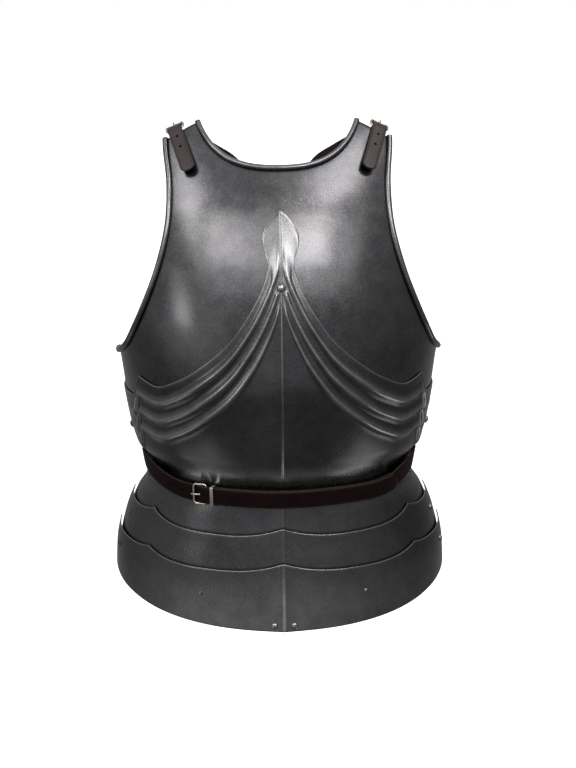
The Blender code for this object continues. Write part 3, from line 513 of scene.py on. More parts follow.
def add_rim(places):
    """The same grid with extra rows and columns just inside its rim."""
    def one_side(grid):
        share = np.minimum(RIM / metres(grid[0], grid[1]), RIM_MOST)
        lines = [grid[0] + (grid[1] - grid[0]) * share * q for q in RIM_LINES]
        return np.concatenate([np.stack(lines), grid[1:]])
    for axis in (0, 1):
        grid = np.moveaxis(places, axis, 0)
        grid = one_side(grid)
        grid = one_side(grid[::-1])[::-1]
        places = np.moveaxis(grid, 0, axis)
    return places


def rim_distance(places):
    """How far each point of a grid is from its rim."""
    def from_start(axis):
        grid = np.moveaxis(places, axis, 0)
        gaps = metres(grid[:-1], grid[1:])[..., 0]
        run = np.concatenate([np.zeros((1,) + gaps.shape[1:]), np.cumsum(gaps, axis=0)])
        return np.moveaxis(np.minimum(run, run[-1:] - run), 0, axis)
    return np.minimum(from_start(0), from_start(1))


def store(mesh, name, values):
    """Give every point of a mesh a number or, from three columns, a vector."""
    values = np.asarray(values, np.float32)
    kind, field = ("FLOAT", "value") if values.ndim == 1 else ("FLOAT_VECTOR", "vector")
    mesh.attributes.new(name, kind, "POINT").data.foreach_set(field, values.reshape(-1))


def new_mesh(name, points, edges, faces):
    mesh = bpy.data.meshes.new(name)
    mesh.from_pydata(points, edges, faces)
    return mesh


def sheet_mesh(name, places, marks):
    """A closed sheet of no thickness on the body, from a grid of (turn, drop, flute, bead)."""
    places = add_rim(places)
    rows, cols = places.shape[:2]
    rim = rim_distance(places)
    face = np.sqrt(1.0 - (1.0 - np.clip(rim / RIM, 0.0, 1.0)) ** 2)
    turn, drop, flute, bead = np.moveaxis(places, -1, 0)
    worn = RIM_WEAR * np.exp(-np.maximum(rim - RIM_FLAT, 0.0) / WEAR_REACH)
    values = {"flute": flute, "bead": bead, "worn": worn, "hollow": 0.0 * turn, "stand": 0.0 * turn}
    marks(values, places)
    index = np.arange(rows * cols).reshape(rows, cols)
    edge = np.zeros((rows, cols), bool)
    edge[[0, -1], :] = True
    edge[:, [0, -1]] = True
    near = np.where(edge, index, -1)
    near[~edge] = rows * cols + np.arange((~edge).sum())
    outer = np.stack([index[:-1, :-1], index[1:, :-1], index[1:, 1:], index[:-1, 1:]], -1).reshape(-1, 4)
    inner = np.stack([near[:-1, :-1], near[:-1, 1:], near[1:, 1:], near[1:, :-1]], -1).reshape(-1, 4)
    inside = ~edge.reshape(-1)

    def both(a, turned=1.0):
        """Values of the outer face, then of the inner one, which shares the edge's points."""
        flat = a.reshape((rows * cols,) + a.shape[2:])
        return np.concatenate([flat, turned * flat[inside]])
    mesh = new_mesh(name, both(bare_skin(turn, drop)).tolist(), [],
                    np.concatenate([outer, inner]).tolist())
    for key, value in values.items():
        store(mesh, key, both(value))
    store(mesh, "face", both(face, -1.0))
    store(mesh, "out", both(outward(turn, drop)))
    return mesh


def mirrored(half):
    """A whole grid from its half, whose first column is the middle."""
    other = half[:, :0:-1].copy()
    other[..., 0] *= -1.0
    return np.concatenate([other, half], axis=1)


def ride(piece, body, slot, *nodes):
    """Bind a finished piece to its body and hide the CAD nodes it stands for; the slot for its finish is not
    used.
    """
    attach(piece, body)
    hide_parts(*nodes)
    print(piece.name, "rides", body, "with", len(piece.data.polygons), "faces")
    return piece


LAP = 0.0008            # clearance between two plates
WAIST_ROOM = 0.0010     # and some more below the waist
UNEVEN = 0.0004         # height of a plate's dents


def layer_proud(layer):
    """Height of a plate's inner face above the body: the breastplate is layer 0."""
    if layer == 0:
        return -SHEET
    return LAP + (layer - 1) * (SHEET + LAP) + (WAIST_ROOM if layer > 1 else 0.0)


print("inner faces stand at", [round(layer_proud(layer), 4) for layer in range(5)])

# %% [markdown]
# ## Breastplate
# The upper plate covers the chest. Its outline is the scooped neck, two short shoulder points and the
# deep arm openings, and below the sides it runs straight down behind the plackart. A patch that blends
# its four edges fills the inside evenly.

# %% Breastplate outline
SIDE_TURN, NECK_TURN, NECK_DROP, NECK_POWER = 94.0, 36.3, 0.0500, 2.5
SHOULDER = ((36.3, 0.0012), (39.8, 0.0052), (45.3, 0.0130), (49.9, 0.0190))
ARMHOLE = ((49.9, 0.0190), (42.3, 0.0650), (40.1, 0.1110), (43.6, 0.1620),
           (52.7, 0.2160), (63.5, 0.2530), (78.0, 0.2720), (94.0, 0.2800))
BREAST_HEM = 0.3860
ROLLS_END = 0.275       # the rolls lie above this drop
ROLL_SHADE = 0.0028     # the painted shade beside a roll fades over this distance
NECK_POINTS, NECK_COLUMNS, SHOULDER_COLUMNS, ARM_ROWS, SIDE_ROWS = 97, 46, 20, 90, 20


def breast_grid():
    """The whole breastplate as (turn, drop, flute, bead)."""
    turns = NECK_TURN * np.linspace(0.0, 1.0, NECK_POINTS)
    neck = np.stack([turns, NECK_DROP * (1.0 - (turns / NECK_TURN) ** NECK_POWER) + SHOULDER[0][1],
                     0.0 * turns], -1)
    top = np.concatenate([evenly(neck, NECK_COLUMNS), through(SHOULDER, SHOULDER_COLUMNS)[1:]])
    arm = through(ARMHOLE, ARM_ROWS)
    down = np.linspace(arm[-1, 1], BREAST_HEM, SIDE_ROWS + 1)[1:]
    side = np.concatenate([arm, np.stack([np.full(SIDE_ROWS, SIDE_TURN), down, 0.0 * down], -1)])
    u = np.linspace(0.0, 1.0, len(top))[None, :, None]
    v = np.linspace(0.0, 1.0, len(side))[:, None, None]
    low = np.array([0.0, BREAST_HEM, 0.0])
    bottom = low + (np.array([SIDE_TURN, BREAST_HEM, 0.0]) - low) * u
    middle = top[0] + (low - top[0]) * v
    corners = (top[0] + (top[-1] - top[0]) * u) * (1 - v) + (low + (side[-1] - low) * u) * v
    grid = top[None] * (1 - v) + bottom * v + middle * (1 - u) + side[:, None] * u - corners
    flat = np.zeros(grid.shape[:2] + (1,))
    return mirrored(np.concatenate([grid[..., :2], flat, flat], -1))


def under_rolls(values, places):
    """Painted shade darkens the corner beside a roll, and the rim there is not rubbed bright."""
    rolled = places[..., 1] < ROLLS_END
    values["worn"] = np.where(rolled, 0.0, values["worn"])
    values["hollow"] = np.where(rolled, 0.85 * np.exp(-(rim_distance(places) / ROLL_SHADE) ** 2), 0.0)


breast_places = breast_grid()
breastplate = grow("breastplate", sheet_mesh("breastplate", breast_places, under_rolls), raise_tree,
                   raise_ids, {"Clearance": layer_proud(0), "Unevenness": UNEVEN, "Material": STEEL})
print("breastplate:", len(breastplate.data.polygons), "faces")

# %% [markdown]
# The neck and arm edges are rolled outwards over a wire, which stiffens them and stops a point. A roll
# follows a path, so a second tree sweeps a round profile along it and dents it a little, as hammering
# does. The plate's own edge disappears into the roll.

# %% The tree that rolls an edge
ROLL = 0.0034           # radius of a roll
ROLL_OUT, ROLL_UP = 0.66, 0.75      # how far its middle lies beyond the edge and above it
ROLL_WEAR, ROLL_DENTS = 0.17, 160.0

roll_tree, start, roll_ids = group("rolled_edge", (
    ("Radius", "Float", ROLL), ("Sides", "Int", 20), ("Hammering", "Float", 0.0004),
    ("Material", "Material", None)))
path = roll_tree.node("GeometryNodeMeshToCurve", {}, {0: start})
ring = roll_tree.node("GeometryNodeCurvePrimitiveCircle", {},
                      {"Resolution": start.other("Sides"), "Radius": start.other("Radius")})
tube = roll_tree.node("GeometryNodeCurveToMesh", {}, {0: path, 1: ring, "Fill Caps": True})
dents = roll_tree.noise(roll_tree.node("GeometryNodeInputPosition"), ROLL_DENTS, 3.0)
hammered = shift(roll_tree, tube, roll_tree.node("GeometryNodeInputNormal"),
                 (dents - 0.5) * start.other("Hammering"))
close(roll_tree, mark(roll_tree, hammered, "worn", ROLL_WEAR), start.other("Material"))
print("rolled_edge takes", sorted(roll_ids))

# %% Rolled neck and arm edges
def roll_path(stretch, inside):
    """Centre line of a roll along grid places, on the side away from the plate."""
    high = layer_proud(0) + SHEET
    edge = skin(stretch[:, 0], stretch[:, 1], high)
    up = outward(stretch[:, 0], stretch[:, 1])
    along = unit(np.gradient(edge, axis=0))
    off = unit(np.cross(along, up))
    toward = skin(inside[:, 0], inside[:, 1], high) - edge
    off *= -np.sign(np.sum(off * toward, axis=-1, keepdims=True))
    return edge + off * ROLL * ROLL_OUT + up * (ROLL - SHEET) * ROLL_UP


def path_mesh(name, points):
    return new_mesh(name, points.tolist(), [(k, k + 1) for k in range(len(points) - 1)], [])


def join(name, pieces):
    """Several objects of one finish as one mesh."""
    made = bmesh.new()
    for piece in pieces:
        made.from_mesh(piece.data)
    mesh = pieces[0].data
    mesh.name = name
    made.to_mesh(mesh)
    made.free()
    for piece in pieces[1:]:
        bpy.data.objects.remove(piece, do_unlink=True)
    pieces[0].name = name
    return pieces[0]


neck_part = breast_places[:, SHOULDER_COLUMNS:-SHOULDER_COLUMNS]
arm_part = breast_places[:ARM_ROWS + 1]
stretches = {"neck_roll": (neck_part[0], neck_part[2]),
             "left_arm_roll": (arm_part[:, -1], arm_part[:, -3]),
             "right_arm_roll": (arm_part[:, 0], arm_part[:, 2])}
rolls = [grow(name, path_mesh(name, roll_path(*stretch)), roll_tree, roll_ids, {"Material": STEEL})
         for name, stretch in stretches.items()]
ride(join("breastplate", [breastplate] + rolls), "root", "plate_steel", "breastplate")

# %% [markdown]
# ## Plackart
# The lower plate hugs the waist and rises to a spear-shaped finial on the keel. Its upper edge is a
# swag from the finial to a point at each side, and three flutes below repeat that swag. Each flute is
# a sharp ridge between hollows, so the rule needs one number: how near a point is to a ridge.

# %% Plackart outline
FINIAL = ((0.0, 0.0940), (1.5, 0.0980), (3.2, 0.1050), (4.9, 0.1150), (5.5, 0.1250),
          (5.0, 0.1345), (4.0, 0.1450), (3.6, 0.1530), (4.0, 0.1630), (5.1, 0.1770))
SWAG = np.array(((0.0, 0.1280), (3.0, 0.1590), (8.0, 0.1990), (15.5, 0.2380),
                 (25.5, 0.2660), (37.0, 0.2870), (48.0, 0.2975), (58.8, 0.2905)))
TIP_TURN, TIP_FALL, TIP_SPREAD = 58.8, 0.0280, 9.0
FLUTES = (0.0205, 0.0430, 0.0645)
FLUTE_LEAN, FLUTE_RISE, LIP_RISE, BEAD_RISE = 1.1, 0.0036, 0.0004, 0.0004
FLUTE_DIP, DIP_TURN = 0.0085, 4.0
FLUTE_FALL, FLUTE_FOOT = 0.0055, 0.0130     # how the last flute's underside fades, and where it ends
RIVET_DROP, RIVET_FLAT = 0.1775, (0.0042, 0.0080)
PLACKART_HEM = 0.4440
FINIAL_COLUMNS, SWAG_COLUMNS, TIP_COLUMNS, FINIAL_SHARE = 36, 80, 36, 3.0
BAND_ROWS, FOOT_ROWS, SKIRT_ROWS = 20, 12, 40


def swag(turn):
    """Drop of the upper edge behind the finial."""
    fall = TIP_FALL * ease(TIP_TURN, TIP_TURN + TIP_SPREAD, turn)
    return np.where(turn <= TIP_TURN, read(SWAG[:, 0], SWAG[:, 1], turn), SWAG[-1, 1] + fall)


def flute_line(turn, step):
    """The swag moved down by step, with its tips leaning further round as it goes."""
    number = 3.0 * step / FLUTES[-1]
    lean = FLUTE_LEAN * number * np.minimum(turn / TIP_TURN, (SIDE_TURN - turn) / (SIDE_TURN - TIP_TURN))
    dip = FLUTE_DIP * number / 3.0 * turn / DIP_TURN * np.exp(1.0 - turn / DIP_TURN)
    return np.stack([turn + lean, swag(turn) + step + dip], -1)


def swag_turns(first):
    """The columns' turns, closer together beside the finial and at the tips."""
    front = first + (TIP_TURN - first) * np.linspace(0.0, 1.0, SWAG_COLUMNS + 1) ** 1.35
    behind = TIP_TURN + (SIDE_TURN - TIP_TURN) * np.linspace(0.0, 1.0, TIP_COLUMNS + 1)[1:] ** 1.3
    return np.concatenate([front, behind])


def flute_share(turn, drop):
    """1 where a flute has its full height, fading at the keel, behind the tips and by the rivet."""
    fade = ease(0.0, 1.3, turn) * (0.42 + 0.58 * ease(2.0, 24.0, turn))
    fade = fade * (1.0 - ease(TIP_TURN + 6.0, TIP_TURN + 24.0, turn))
    away = np.hypot(turn * DEGREE, drop - RIVET_DROP)
    return fade * ease(*RIVET_FLAT, away)


ROUND = 0.35            # how blunt a ridge is


def ridge(q):
    """1 on the ridges at 0 and 1, 0 in the hollow between, the ridges rounded off."""
    deep = np.sqrt(np.sin(math.pi * np.asarray(q)) ** 2 + ROUND ** 2) - ROUND
    return 1.0 - deep / (math.sqrt(1.0 + ROUND ** 2) - ROUND)


def plackart_grid():
    """Half of the plackart as (turn, drop, flute, bead); each band runs from ridge to ridge."""
    finial = through(FINIAL, FINIAL_COLUMNS)[:, :2]
    edge = np.concatenate([finial, flute_line(swag_turns(FINIAL[-1][0])[1:], 0.0)])
    lead = FINIAL_SHARE * np.arange(FINIAL_COLUMNS) / FINIAL_COLUMNS
    turns = np.concatenate([lead, swag_turns(FINIAL_SHARE)])
    lines = [edge] + [flute_line(turns, step) for step in FLUTES]
    rows = []
    for number, (above, below) in enumerate(zip(lines, lines[1:])):
        for q in 0.5 - 0.5 * np.cos(math.pi * np.arange(BAND_ROWS) / BAND_ROWS):
            crest = float(ridge(q))
            p = above + (below - above) * q
            height = crest * flute_share(p[:, 0], p[:, 1])
            if number == 0 and q < 0.5:
                height = np.full(len(p), crest * LIP_RISE / FLUTE_RISE)
            rows.append(np.column_stack([p, height]))
    for fall in np.linspace(0.0, FLUTE_FOOT, FOOT_ROWS + 1):
        p = lines[-1] + (0.0, fall)
        crest = math.exp(-(fall / FLUTE_FALL) ** 2)
        rows.append(np.column_stack([p, crest * flute_share(p[:, 0], p[:, 1])]))
    start = rows[-1]
    for q in np.linspace(0.0, 1.0, SKIRT_ROWS + 1)[1:]:
        rows.append(np.column_stack([start[:, 0], start[:, 1] + (PLACKART_HEM - start[:, 1]) * q,
                                     start[:, 2] * (1 - q)]))
    return np.stack(rows)


KEEL_LINES = (0.10, 0.22, 0.40, 0.62)   # extra columns beside the keel, as shares of the first one
BEAD_WIDTH = 0.0006


def with_keel(half):
    """Extra columns beside the middle, and a fine raised bead along it."""
    extra = [half[:, 0] + (half[:, 1] - half[:, 0]) * q for q in KEEL_LINES]
    grid = np.concatenate([half[:, :1], np.stack(extra, 1), half[:, 1:]], axis=1)
    x = np.abs(bare_skin(grid[..., 0], grid[..., 1])[..., 0])
    bead = np.exp(-(x / BEAD_WIDTH) ** 2)
    return np.concatenate([grid, bead[..., None]], -1)


EDGE_WEAR, EDGE_REACH = 0.75, 0.0010
RIDGE_WEAR, BEAD_WEAR = 0.50, 0.35
BAND_FALL, BAND_DROPS = (0.008, 0.021), (0.150, 0.280)      # the brushed band below the upper edge
BELT_PAINTED_LIGHT, BELT_DROPS, BELT_TURNS = 0.85, (0.385, 0.414), (40.0, 60.0)     # painted highlight on the steel just above the belt
EDGE_TUCK, TUCK_REACH, TUCK_END = 0.0005, 0.0030, 0.34      # the upper edge is beaten down on the chest


def plackart_marks(values, places):
    """Ridges are rubbed bright; the hollows keep their black, deepened with painted shade."""
    turn, drop, flute, bead = np.moveaxis(places, -1, 0)
    turn, rim = np.abs(turn), rim_distance(places)
    lively = flute_share(turn, drop)
    below = drop - swag(turn)
    band = (1.0 - ease(*BAND_FALL, below)) * (0.04 + 0.08 * (1.0 - ease(*BAND_DROPS, drop)))
    ridges = np.clip(flute / np.maximum(lively, 0.25), 0, 1) ** 3 * ease(0.0, 0.012, below)
    ridged = band + (RIDGE_WEAR - band) * ridges * ease(0.13, 0.16, drop)
    # painted highlight: brightens the plackart just above the belt, where the belt's dark reflection falls
    belt_painted_light = BELT_PAINTED_LIGHT * ease(*BELT_DROPS, drop) * (1.0 - ease(*BELT_TURNS, turn))
    values["worn"] = np.maximum.reduce([values["worn"], EDGE_WEAR * np.exp(-rim / EDGE_REACH), ridged,
                                        BEAD_WEAR * bead, belt_painted_light])
    # black kept in the flute hollows, deepened with painted shade
    values["hollow"] = 0.25 * ease(0.3, 0.9, lively) * np.clip(1.0 - 2.2 * flute, 0, 1) * (below > 0.0)
    values["stand"] = -EDGE_TUCK * np.exp(-(rim / TUCK_REACH) ** 2) * (drop < TUCK_END)


plackart_mesh = sheet_mesh("plackart", mirrored(with_keel(plackart_grid())), plackart_marks)
plackart = grow("plackart", plackart_mesh, raise_tree, raise_ids,
                {"Clearance": layer_proud(1), "Flute rise": FLUTE_RISE, "Bead rise": BEAD_RISE,
                 "Unevenness": UNEVEN, "Material": STEEL})
ride(plackart, "root", "plate_steel", "plackart")

# %% [markdown]
# ## Fauld
# Three lames hang from the waist and lap outwards, each over the one above, so that they slide up when
# the wearer bends. Their upper edges are scalloped: one long dip across the front to a cusp at each
# side, then a short dip up to the tip. The three differ only in a row of sizes.

# %% Three lames
LAME_COLUMNS = ("name", "layer", "keel_top", "cusp_turn", "cusp_drop", "sag", "tip_drop", "side_sag",
                "hem_front", "hem_side", "stand_off")
LAMES = (
    ("waist_lame", 2, 0.4275, 46.0, 0.4255, 0.0, 0.4110, 0.0, 0.4940, 0.4800, 0.0),
    ("middle_lame", 3, 0.4650, 58.0, 0.4575, 0.0125, 0.4530, 0.0060, 0.5320, 0.5200, 0.0020),
    ("lower_lame", 4, 0.5050, 54.5, 0.5005, 0.0110, 0.4910, 0.0045, 0.5815, 0.5400, 0.0042),
)
LAME_TURN = 91.0
LAME_BODY = {"waist_lame": "root", "middle_lame": "middle_lame", "lower_lame": "lower_lame"}
STAND_SHARE, STAND_TURNS = 0.72, (55.0, 88.0)       # how the tips of the hinged lames stand off
LOW_DROPS = (0.50, 0.57)                            # below these a lame is lighter
CUSP_COLUMNS, END_COLUMNS, LAME_ROWS = 90, 46, 30
LINE_ROWS = (-0.0034, -0.0025, -0.0016, -0.0008, 0.0000, 0.0014)    # rows beside the next lame's edge
LINE_ABOVE, LINE_BELOW = 0.0040, 0.0030             # and where the other rows stop
LINE_RISE, LINE_WIDTH = 0.0008, 0.0022              # the painted shadow beside that edge


def scallop(first, last, sag, q):
    """Drop along one dip of an edge, from its first end to its last."""
    return first + (last - first) * q + sag * (1.0 - np.abs(2.0 * q - 1.0) ** 3)


def lame_edges(lame, turn):
    """Drops of a lame's upper edge and hem."""
    turn = np.abs(turn)
    cusp = lame["cusp_turn"]
    ahead = scallop(lame["keel_top"], lame["cusp_drop"], lame["sag"], turn / cusp)
    beside = scallop(lame["cusp_drop"], lame["tip_drop"], lame["side_sag"],
                     (turn - cusp) / (LAME_TURN - cusp))
    front = np.maximum(np.cos(np.radians(turn)), 0.0)
    hem = lame["hem_side"] + (lame["hem_front"] - lame["hem_side"]) * front ** 0.8
    return np.where(turn <= cusp, ahead, beside), hem


def lame_grid(lame, after):
    """A lame as (turn, drop, flute, bead), with close rows where the next lame's edge crosses it."""
    cusp = lame["cusp_turn"]
    turns = np.concatenate([np.linspace(0.0, cusp, CUSP_COLUMNS + 1),
                            np.linspace(cusp, LAME_TURN, END_COLUMNS + 1)[1:]])
    top, hem = lame_edges(lame, turns)
    q = np.linspace(0.0, 1.0, LAME_ROWS + 1)[:, None]
    drop = top + (hem - top) * q
    if after:
        line = lame_edges(after, turns)[0]
        half = q[::2]
        drop = np.concatenate([top + (line - LINE_ABOVE - top) * half,
                               line + np.array(LINE_ROWS)[:, None],
                               line + LINE_BELOW + (hem - line - LINE_BELOW) * half])
    return mirrored(with_keel(np.stack([turns + 0.0 * drop, drop, 0.0 * drop], -1)))


def lame_marks(lame, after):
    """The bead is rubbed; lames are lighter low down and darker higher up, and a painted shadow lies just
    above the next lame's edge.
    """
    def marks(values, places):
        turn, drop, _, bead = np.moveaxis(places, -1, 0)
        fall = (drop - drop.min(axis=0)) / (drop.max(axis=0) - drop.min(axis=0))
        low = ease(*LOW_DROPS, drop)
        # lighter low down, darker on the upper lames and towards each lame's top
        values["worn"] = np.maximum(0.6 * values["worn"], 0.12 * low + (0.08 + 0.50 * low) * bead ** 2)
        dark_and_lap_shadow = 0.42 * (1.0 - low) * (1.0 - 0.4 * fall) * np.clip(1.0 - 4.0 * values["worn"], 0, 1)
        if after:
            # painted shadow of the lap, just above the next lame's edge
            past = drop - lame_edges(after, turn)[0] + LINE_RISE
            dark_and_lap_shadow = np.maximum(dark_and_lap_shadow, np.exp(-(past / LINE_WIDTH) ** 2))
        values["hollow"] = dark_and_lap_shadow
        values["stand"] = STAND_SHARE * lame["stand_off"] * ease(*STAND_TURNS, np.abs(turn))
    return marks


plates = {"breastplate": breastplate, "plackart": plackart}
lames = [dict(zip(LAME_COLUMNS, row)) for row in LAMES]
for lame, after in zip(lames, lames[1:] + [None]):
    mesh = sheet_mesh(lame["name"], lame_grid(lame, after), lame_marks(lame, after))
    piece = grow(lame["name"], mesh, raise_tree, raise_ids,
                 {"Clearance": layer_proud(lame["layer"]), "Bead rise": 0.6 * BEAD_RISE,
                  "Unevenness": UNEVEN, "Material": STEEL})
    plates[lame["name"]] = ride(piece, LAME_BODY[lame["name"]], "plate_steel", lame["name"])

# %% [markdown]
# ## Rivets
# A rivet is the same domed head wherever it sits, so one tree puts heads on points. Each point carries
# the way it faces and its radius. The head is a small grid bent by a rule: one side of the grid runs
# from the top of the dome over its rim to underneath, and the other goes round.

# %% The tree that sets rivets
DOME_SHARE, SKIRT_SHARE, SKIRT_DEPTH = 0.70, 0.15, 0.14     # of the grid's run, and of the radius


def on_points(tree, points, thing, more):
    """Put a thing on every point, facing the way out there."""
    facing = tree.node("FunctionNodeAlignRotationToVector", {"axis": "Z"},
                       {"Vector": named(tree, "out", "FLOAT_VECTOR")})
    return tree.node("GeometryNodeInstanceOnPoints", {},
                     {0: points, "Instance": thing, "Rotation": facing, **more})


rivet_tree, start, rivet_ids = group("set_rivets", (
    ("Height", "Float", 0.55), ("Rings", "Int", 13), ("Sides", "Int", 25), ("Material", "Material", None)))
sheet = rivet_tree.node("GeometryNodeMeshGrid", {},
                        {"Size X": 1.0, "Size Y": 1.0, "Vertices X": start.other("Rings"),
                         "Vertices Y": start.other("Sides")})
spot = rivet_tree.node("ShaderNodeSeparateXYZ", {}, {0: rivet_tree.node("GeometryNodeInputPosition")})
run = spot + 0.5
about = (spot.other("Y") + 0.5) * (2.0 * math.pi)
dome = (run / DOME_SHARE).at_most(1.0) * (math.pi / 2)
skirt = ((run - DOME_SHARE) / SKIRT_SHARE).clamped()
under = ((run - (DOME_SHARE + SKIRT_SHARE)) / SKIRT_SHARE).clamped()
radius = dome.sin() * (1.0 - under)
height = dome.cos() * start.other("Height") - SKIRT_DEPTH * skirt
bent = rivet_tree.node("ShaderNodeCombineXYZ", {},
                       {0: radius * about.cos(), 1: radius * about.sin(), 2: height})
head = rivet_tree.node("GeometryNodeSetPosition", {}, {0: sheet, "Position": bent})
# painted shade round the foot of each head, from low on the dome down to its rim
shaded = mark(rivet_tree, head, "hollow", ((run - 0.55) / 0.15).clamped() * 0.8)
closed = rivet_tree.node("GeometryNodeMergeByDistance", {}, {0: shaded, "Distance": 0.002})
size = rivet_tree.node("ShaderNodeCombineXYZ", {}, {k: named(rivet_tree, "radius") for k in range(3)})
heads = on_points(rivet_tree, start, closed, {"Scale": size})
close(rivet_tree, heads, start.other("Material"))
print("set_rivets takes", sorted(rivet_ids))

# %% [markdown]
# A rivet's place is found by probing the finished plate from outside, so that every head sits down on
# the metal however the plate curves there.

# %% Rivet places
PROBE = 0.03            # a probe starts this far out
PIVOT_TURN, PIVOT_FALL = 79.0, 0.0170


def faces_of(piece):
    mesh = piece.data
    return BVHTree.FromPolygons([v.co for v in mesh.vertices], [f.vertices for f in mesh.polygons])


def seat(piece, turn, drop):
    """The point and direction at which a rivet's head sits on a plate."""
    away = Vector(outward(turn, drop).tolist())
    start = Vector(skin(turn, drop, PROBE).tolist())
    return faces_of(piece).ray_cast(start, -away)[:2]


def point_mesh(name, seats, radius):
    """Points that carry the way out and a radius."""
    mesh = new_mesh(name, [place for place, _ in seats], [], [])
    store(mesh, "out", [out for _, out in seats])
    store(mesh, "radius", [radius] * len(seats))
    return mesh


def pivot_drop(name):
    """Drop of the rivet that a lame swings on."""
    lame = next(row for row in lames if row["name"] == name)
    return float(lame_edges(lame, PIVOT_TURN)[0]) + PIVOT_FALL


#        name, plate, turn, drop, radius, body, height, finish
RIVETS = (
    ("side_rivet", "plackart", PIVOT_TURN, 0.3630, 0.0046, "root", 0.62, "rivet"),
    ("waist_rivet", "waist_lame", PIVOT_TURN, 0.4290, 0.0032, "root", 0.62, "rivet"),
    ("middle_rivet", "middle_lame", PIVOT_TURN, pivot_drop("middle_lame"), 0.0040, "root", 0.62, "rivet"),
    ("lower_rivet", "lower_lame", PIVOT_TURN, pivot_drop("lower_lame"), 0.0040, "middle_lame", 0.62,
     "rivet"),
    ("lining_rivet", "lower_lame", 29.0, 0.5425, 0.0027, "lower_lame", 0.40, "rivet"),
    ("hem_rivet", "lower_lame", 2.85, 0.5748, 0.0041, "lower_lame", 0.60, "dome"),
)
FINISHES = {"rivet": (RIVET_STEEL, "rivet_steel"), "dome": (DOME_STEEL, "dome_steel")}
for name, plate, turn, drop, radius, body, height, finish in RIVETS:
    seats = [seat(plates[plate], side * turn, drop) for side in (1, -1)]
    material, slot = FINISHES[finish]
    piece = grow(name + "s", point_mesh(name, seats, radius), rivet_tree, rivet_ids,
                 {"Height": height, "Material": material})
    ride(piece, body, slot, name + "_left", name + "_right")
piece = grow("finial_rivet", point_mesh("finial_rivet", [seat(plackart, 0.0, RIVET_DROP)], 0.0050),
             rivet_tree, rivet_ids, {"Height": 0.64, "Rings": 19, "Sides": 41, "Material": DOME_STEEL})
ride(piece, "root", "dome_steel", "finial_rivet")

# %% [markdown]
# ## Leather
# A strap is a flat section swept along a line that knows which way is out. The section has rounded
# corners and a pressed crease just inside each edge, as a saddler finishes it. The tongue's end is
# shaped by narrowing the last sections.

# %% A strap
LEATHER = 0.0026        # thickness of the strap leather
FIT = 0.0003            # clearance between two small parts
TIP_LEAST = 0.04        # share of the width left at the very end of a tongue


def strap_section(width):
    """A strap's section as (across, out, cut, crease), all the way round."""
    half, t = width / 2, LEATHER / 2
    #        in from the side, out, cut, crease
    outer = ((0.0, 0.0, 1, 0), (0.00015, 0.62 * t, 1, 0), (0.0006, 0.96 * t, 0.5, 0), (0.0012, t, 0, 0),
             (0.00165, t, 0, 0.4), (0.0019, t - 0.00022, 0, 1), (0.00215, t, 0, 0.4),
             (0.0030, t + 0.00004, 0, 0), (0.6 * half, t + 0.00008, 0, 0))
    under = ((0.0030, -t, 0, 0), (0.0006, -0.96 * t, 0.5, 0), (0.00015, -0.62 * t, 1, 0))
    right = [(half - a, *rest) for a, *rest in outer]
    below = [(half - a, *rest) for a, *rest in under]
    left = [(-a, *rest) for a, *rest in right[::-1] + below[::-1]]
    return np.array(right + left + below)


def face_out(mesh, where=Matrix()):
    """Put a closed mesh at its place and turn its faces outwards."""
    made = bmesh.new()
    made.from_mesh(mesh)
    bmesh.ops.transform(made, matrix=where, verts=made.verts)
    bmesh.ops.recalc_face_normals(made, faces=made.faces)
    if made.calc_volume(signed=True) < 0:
        bmesh.ops.reverse_faces(made, faces=made.faces)
    made.to_mesh(mesh)
    made.free()


def smoothed(mesh):
    """Smooth shading that keeps the edges of holes, tongues and bands crisp."""
    mesh.shade_smooth()
    mesh.set_sharp_from_angle(angle=math.radians(50.0))


def tube_faces(count, around):
    """Faces between count rings of points, and the two ends."""
    index = np.arange(count * around).reshape(count, around)
    ahead = np.roll(index, -1, axis=1)
    faces = np.stack([index[:-1], ahead[:-1], ahead[1:], index[1:]], -1).reshape(-1, 4).tolist()
    return faces + [index[0].tolist()[::-1], index[-1].tolist()]


def strap_mesh(name, places, out, width, share):
    """A closed strap; share gives the part of the full width at each station."""
    along = unit(np.gradient(places, axis=0))
    normal = unit(out - along * np.sum(along * out, -1, keepdims=True))
    side = np.cross(along, normal)
    across, high, cut, crease = strap_section(width).T
    points = (places[:, None] + side[:, None] * (across * share[:, None])[..., None]
              + normal[:, None] * high[:, None])
    count, around = points.shape[:2]
    mesh = new_mesh(name, points.reshape(-1, 3).tolist(), [], tube_faces(count, around))
    store(mesh, "cut", np.where(share[:, None] < 0.5, 1.0, cut).reshape(-1))
    store(mesh, "crease", np.tile(crease, count))
    face_out(mesh)
    return mesh


def round_tip(places, length):
    """Share of width along a line whose last stretch is rounded like a tongue."""
    left = np.linalg.norm(places - places[-1], axis=-1)
    share = np.sqrt(np.clip(1.0 - (1.0 - np.clip(left / length, 0, 1)) ** 2, 0.0, 1.0))
    return np.maximum(share, TIP_LEAST)


print("a strap's section has", len(strap_section(0.02)), "points")

# %% [markdown]
# Holes for the prong are punched right through. A tree puts a row of short round punches on points of
# the strap and takes them away from it, which leaves real holes.

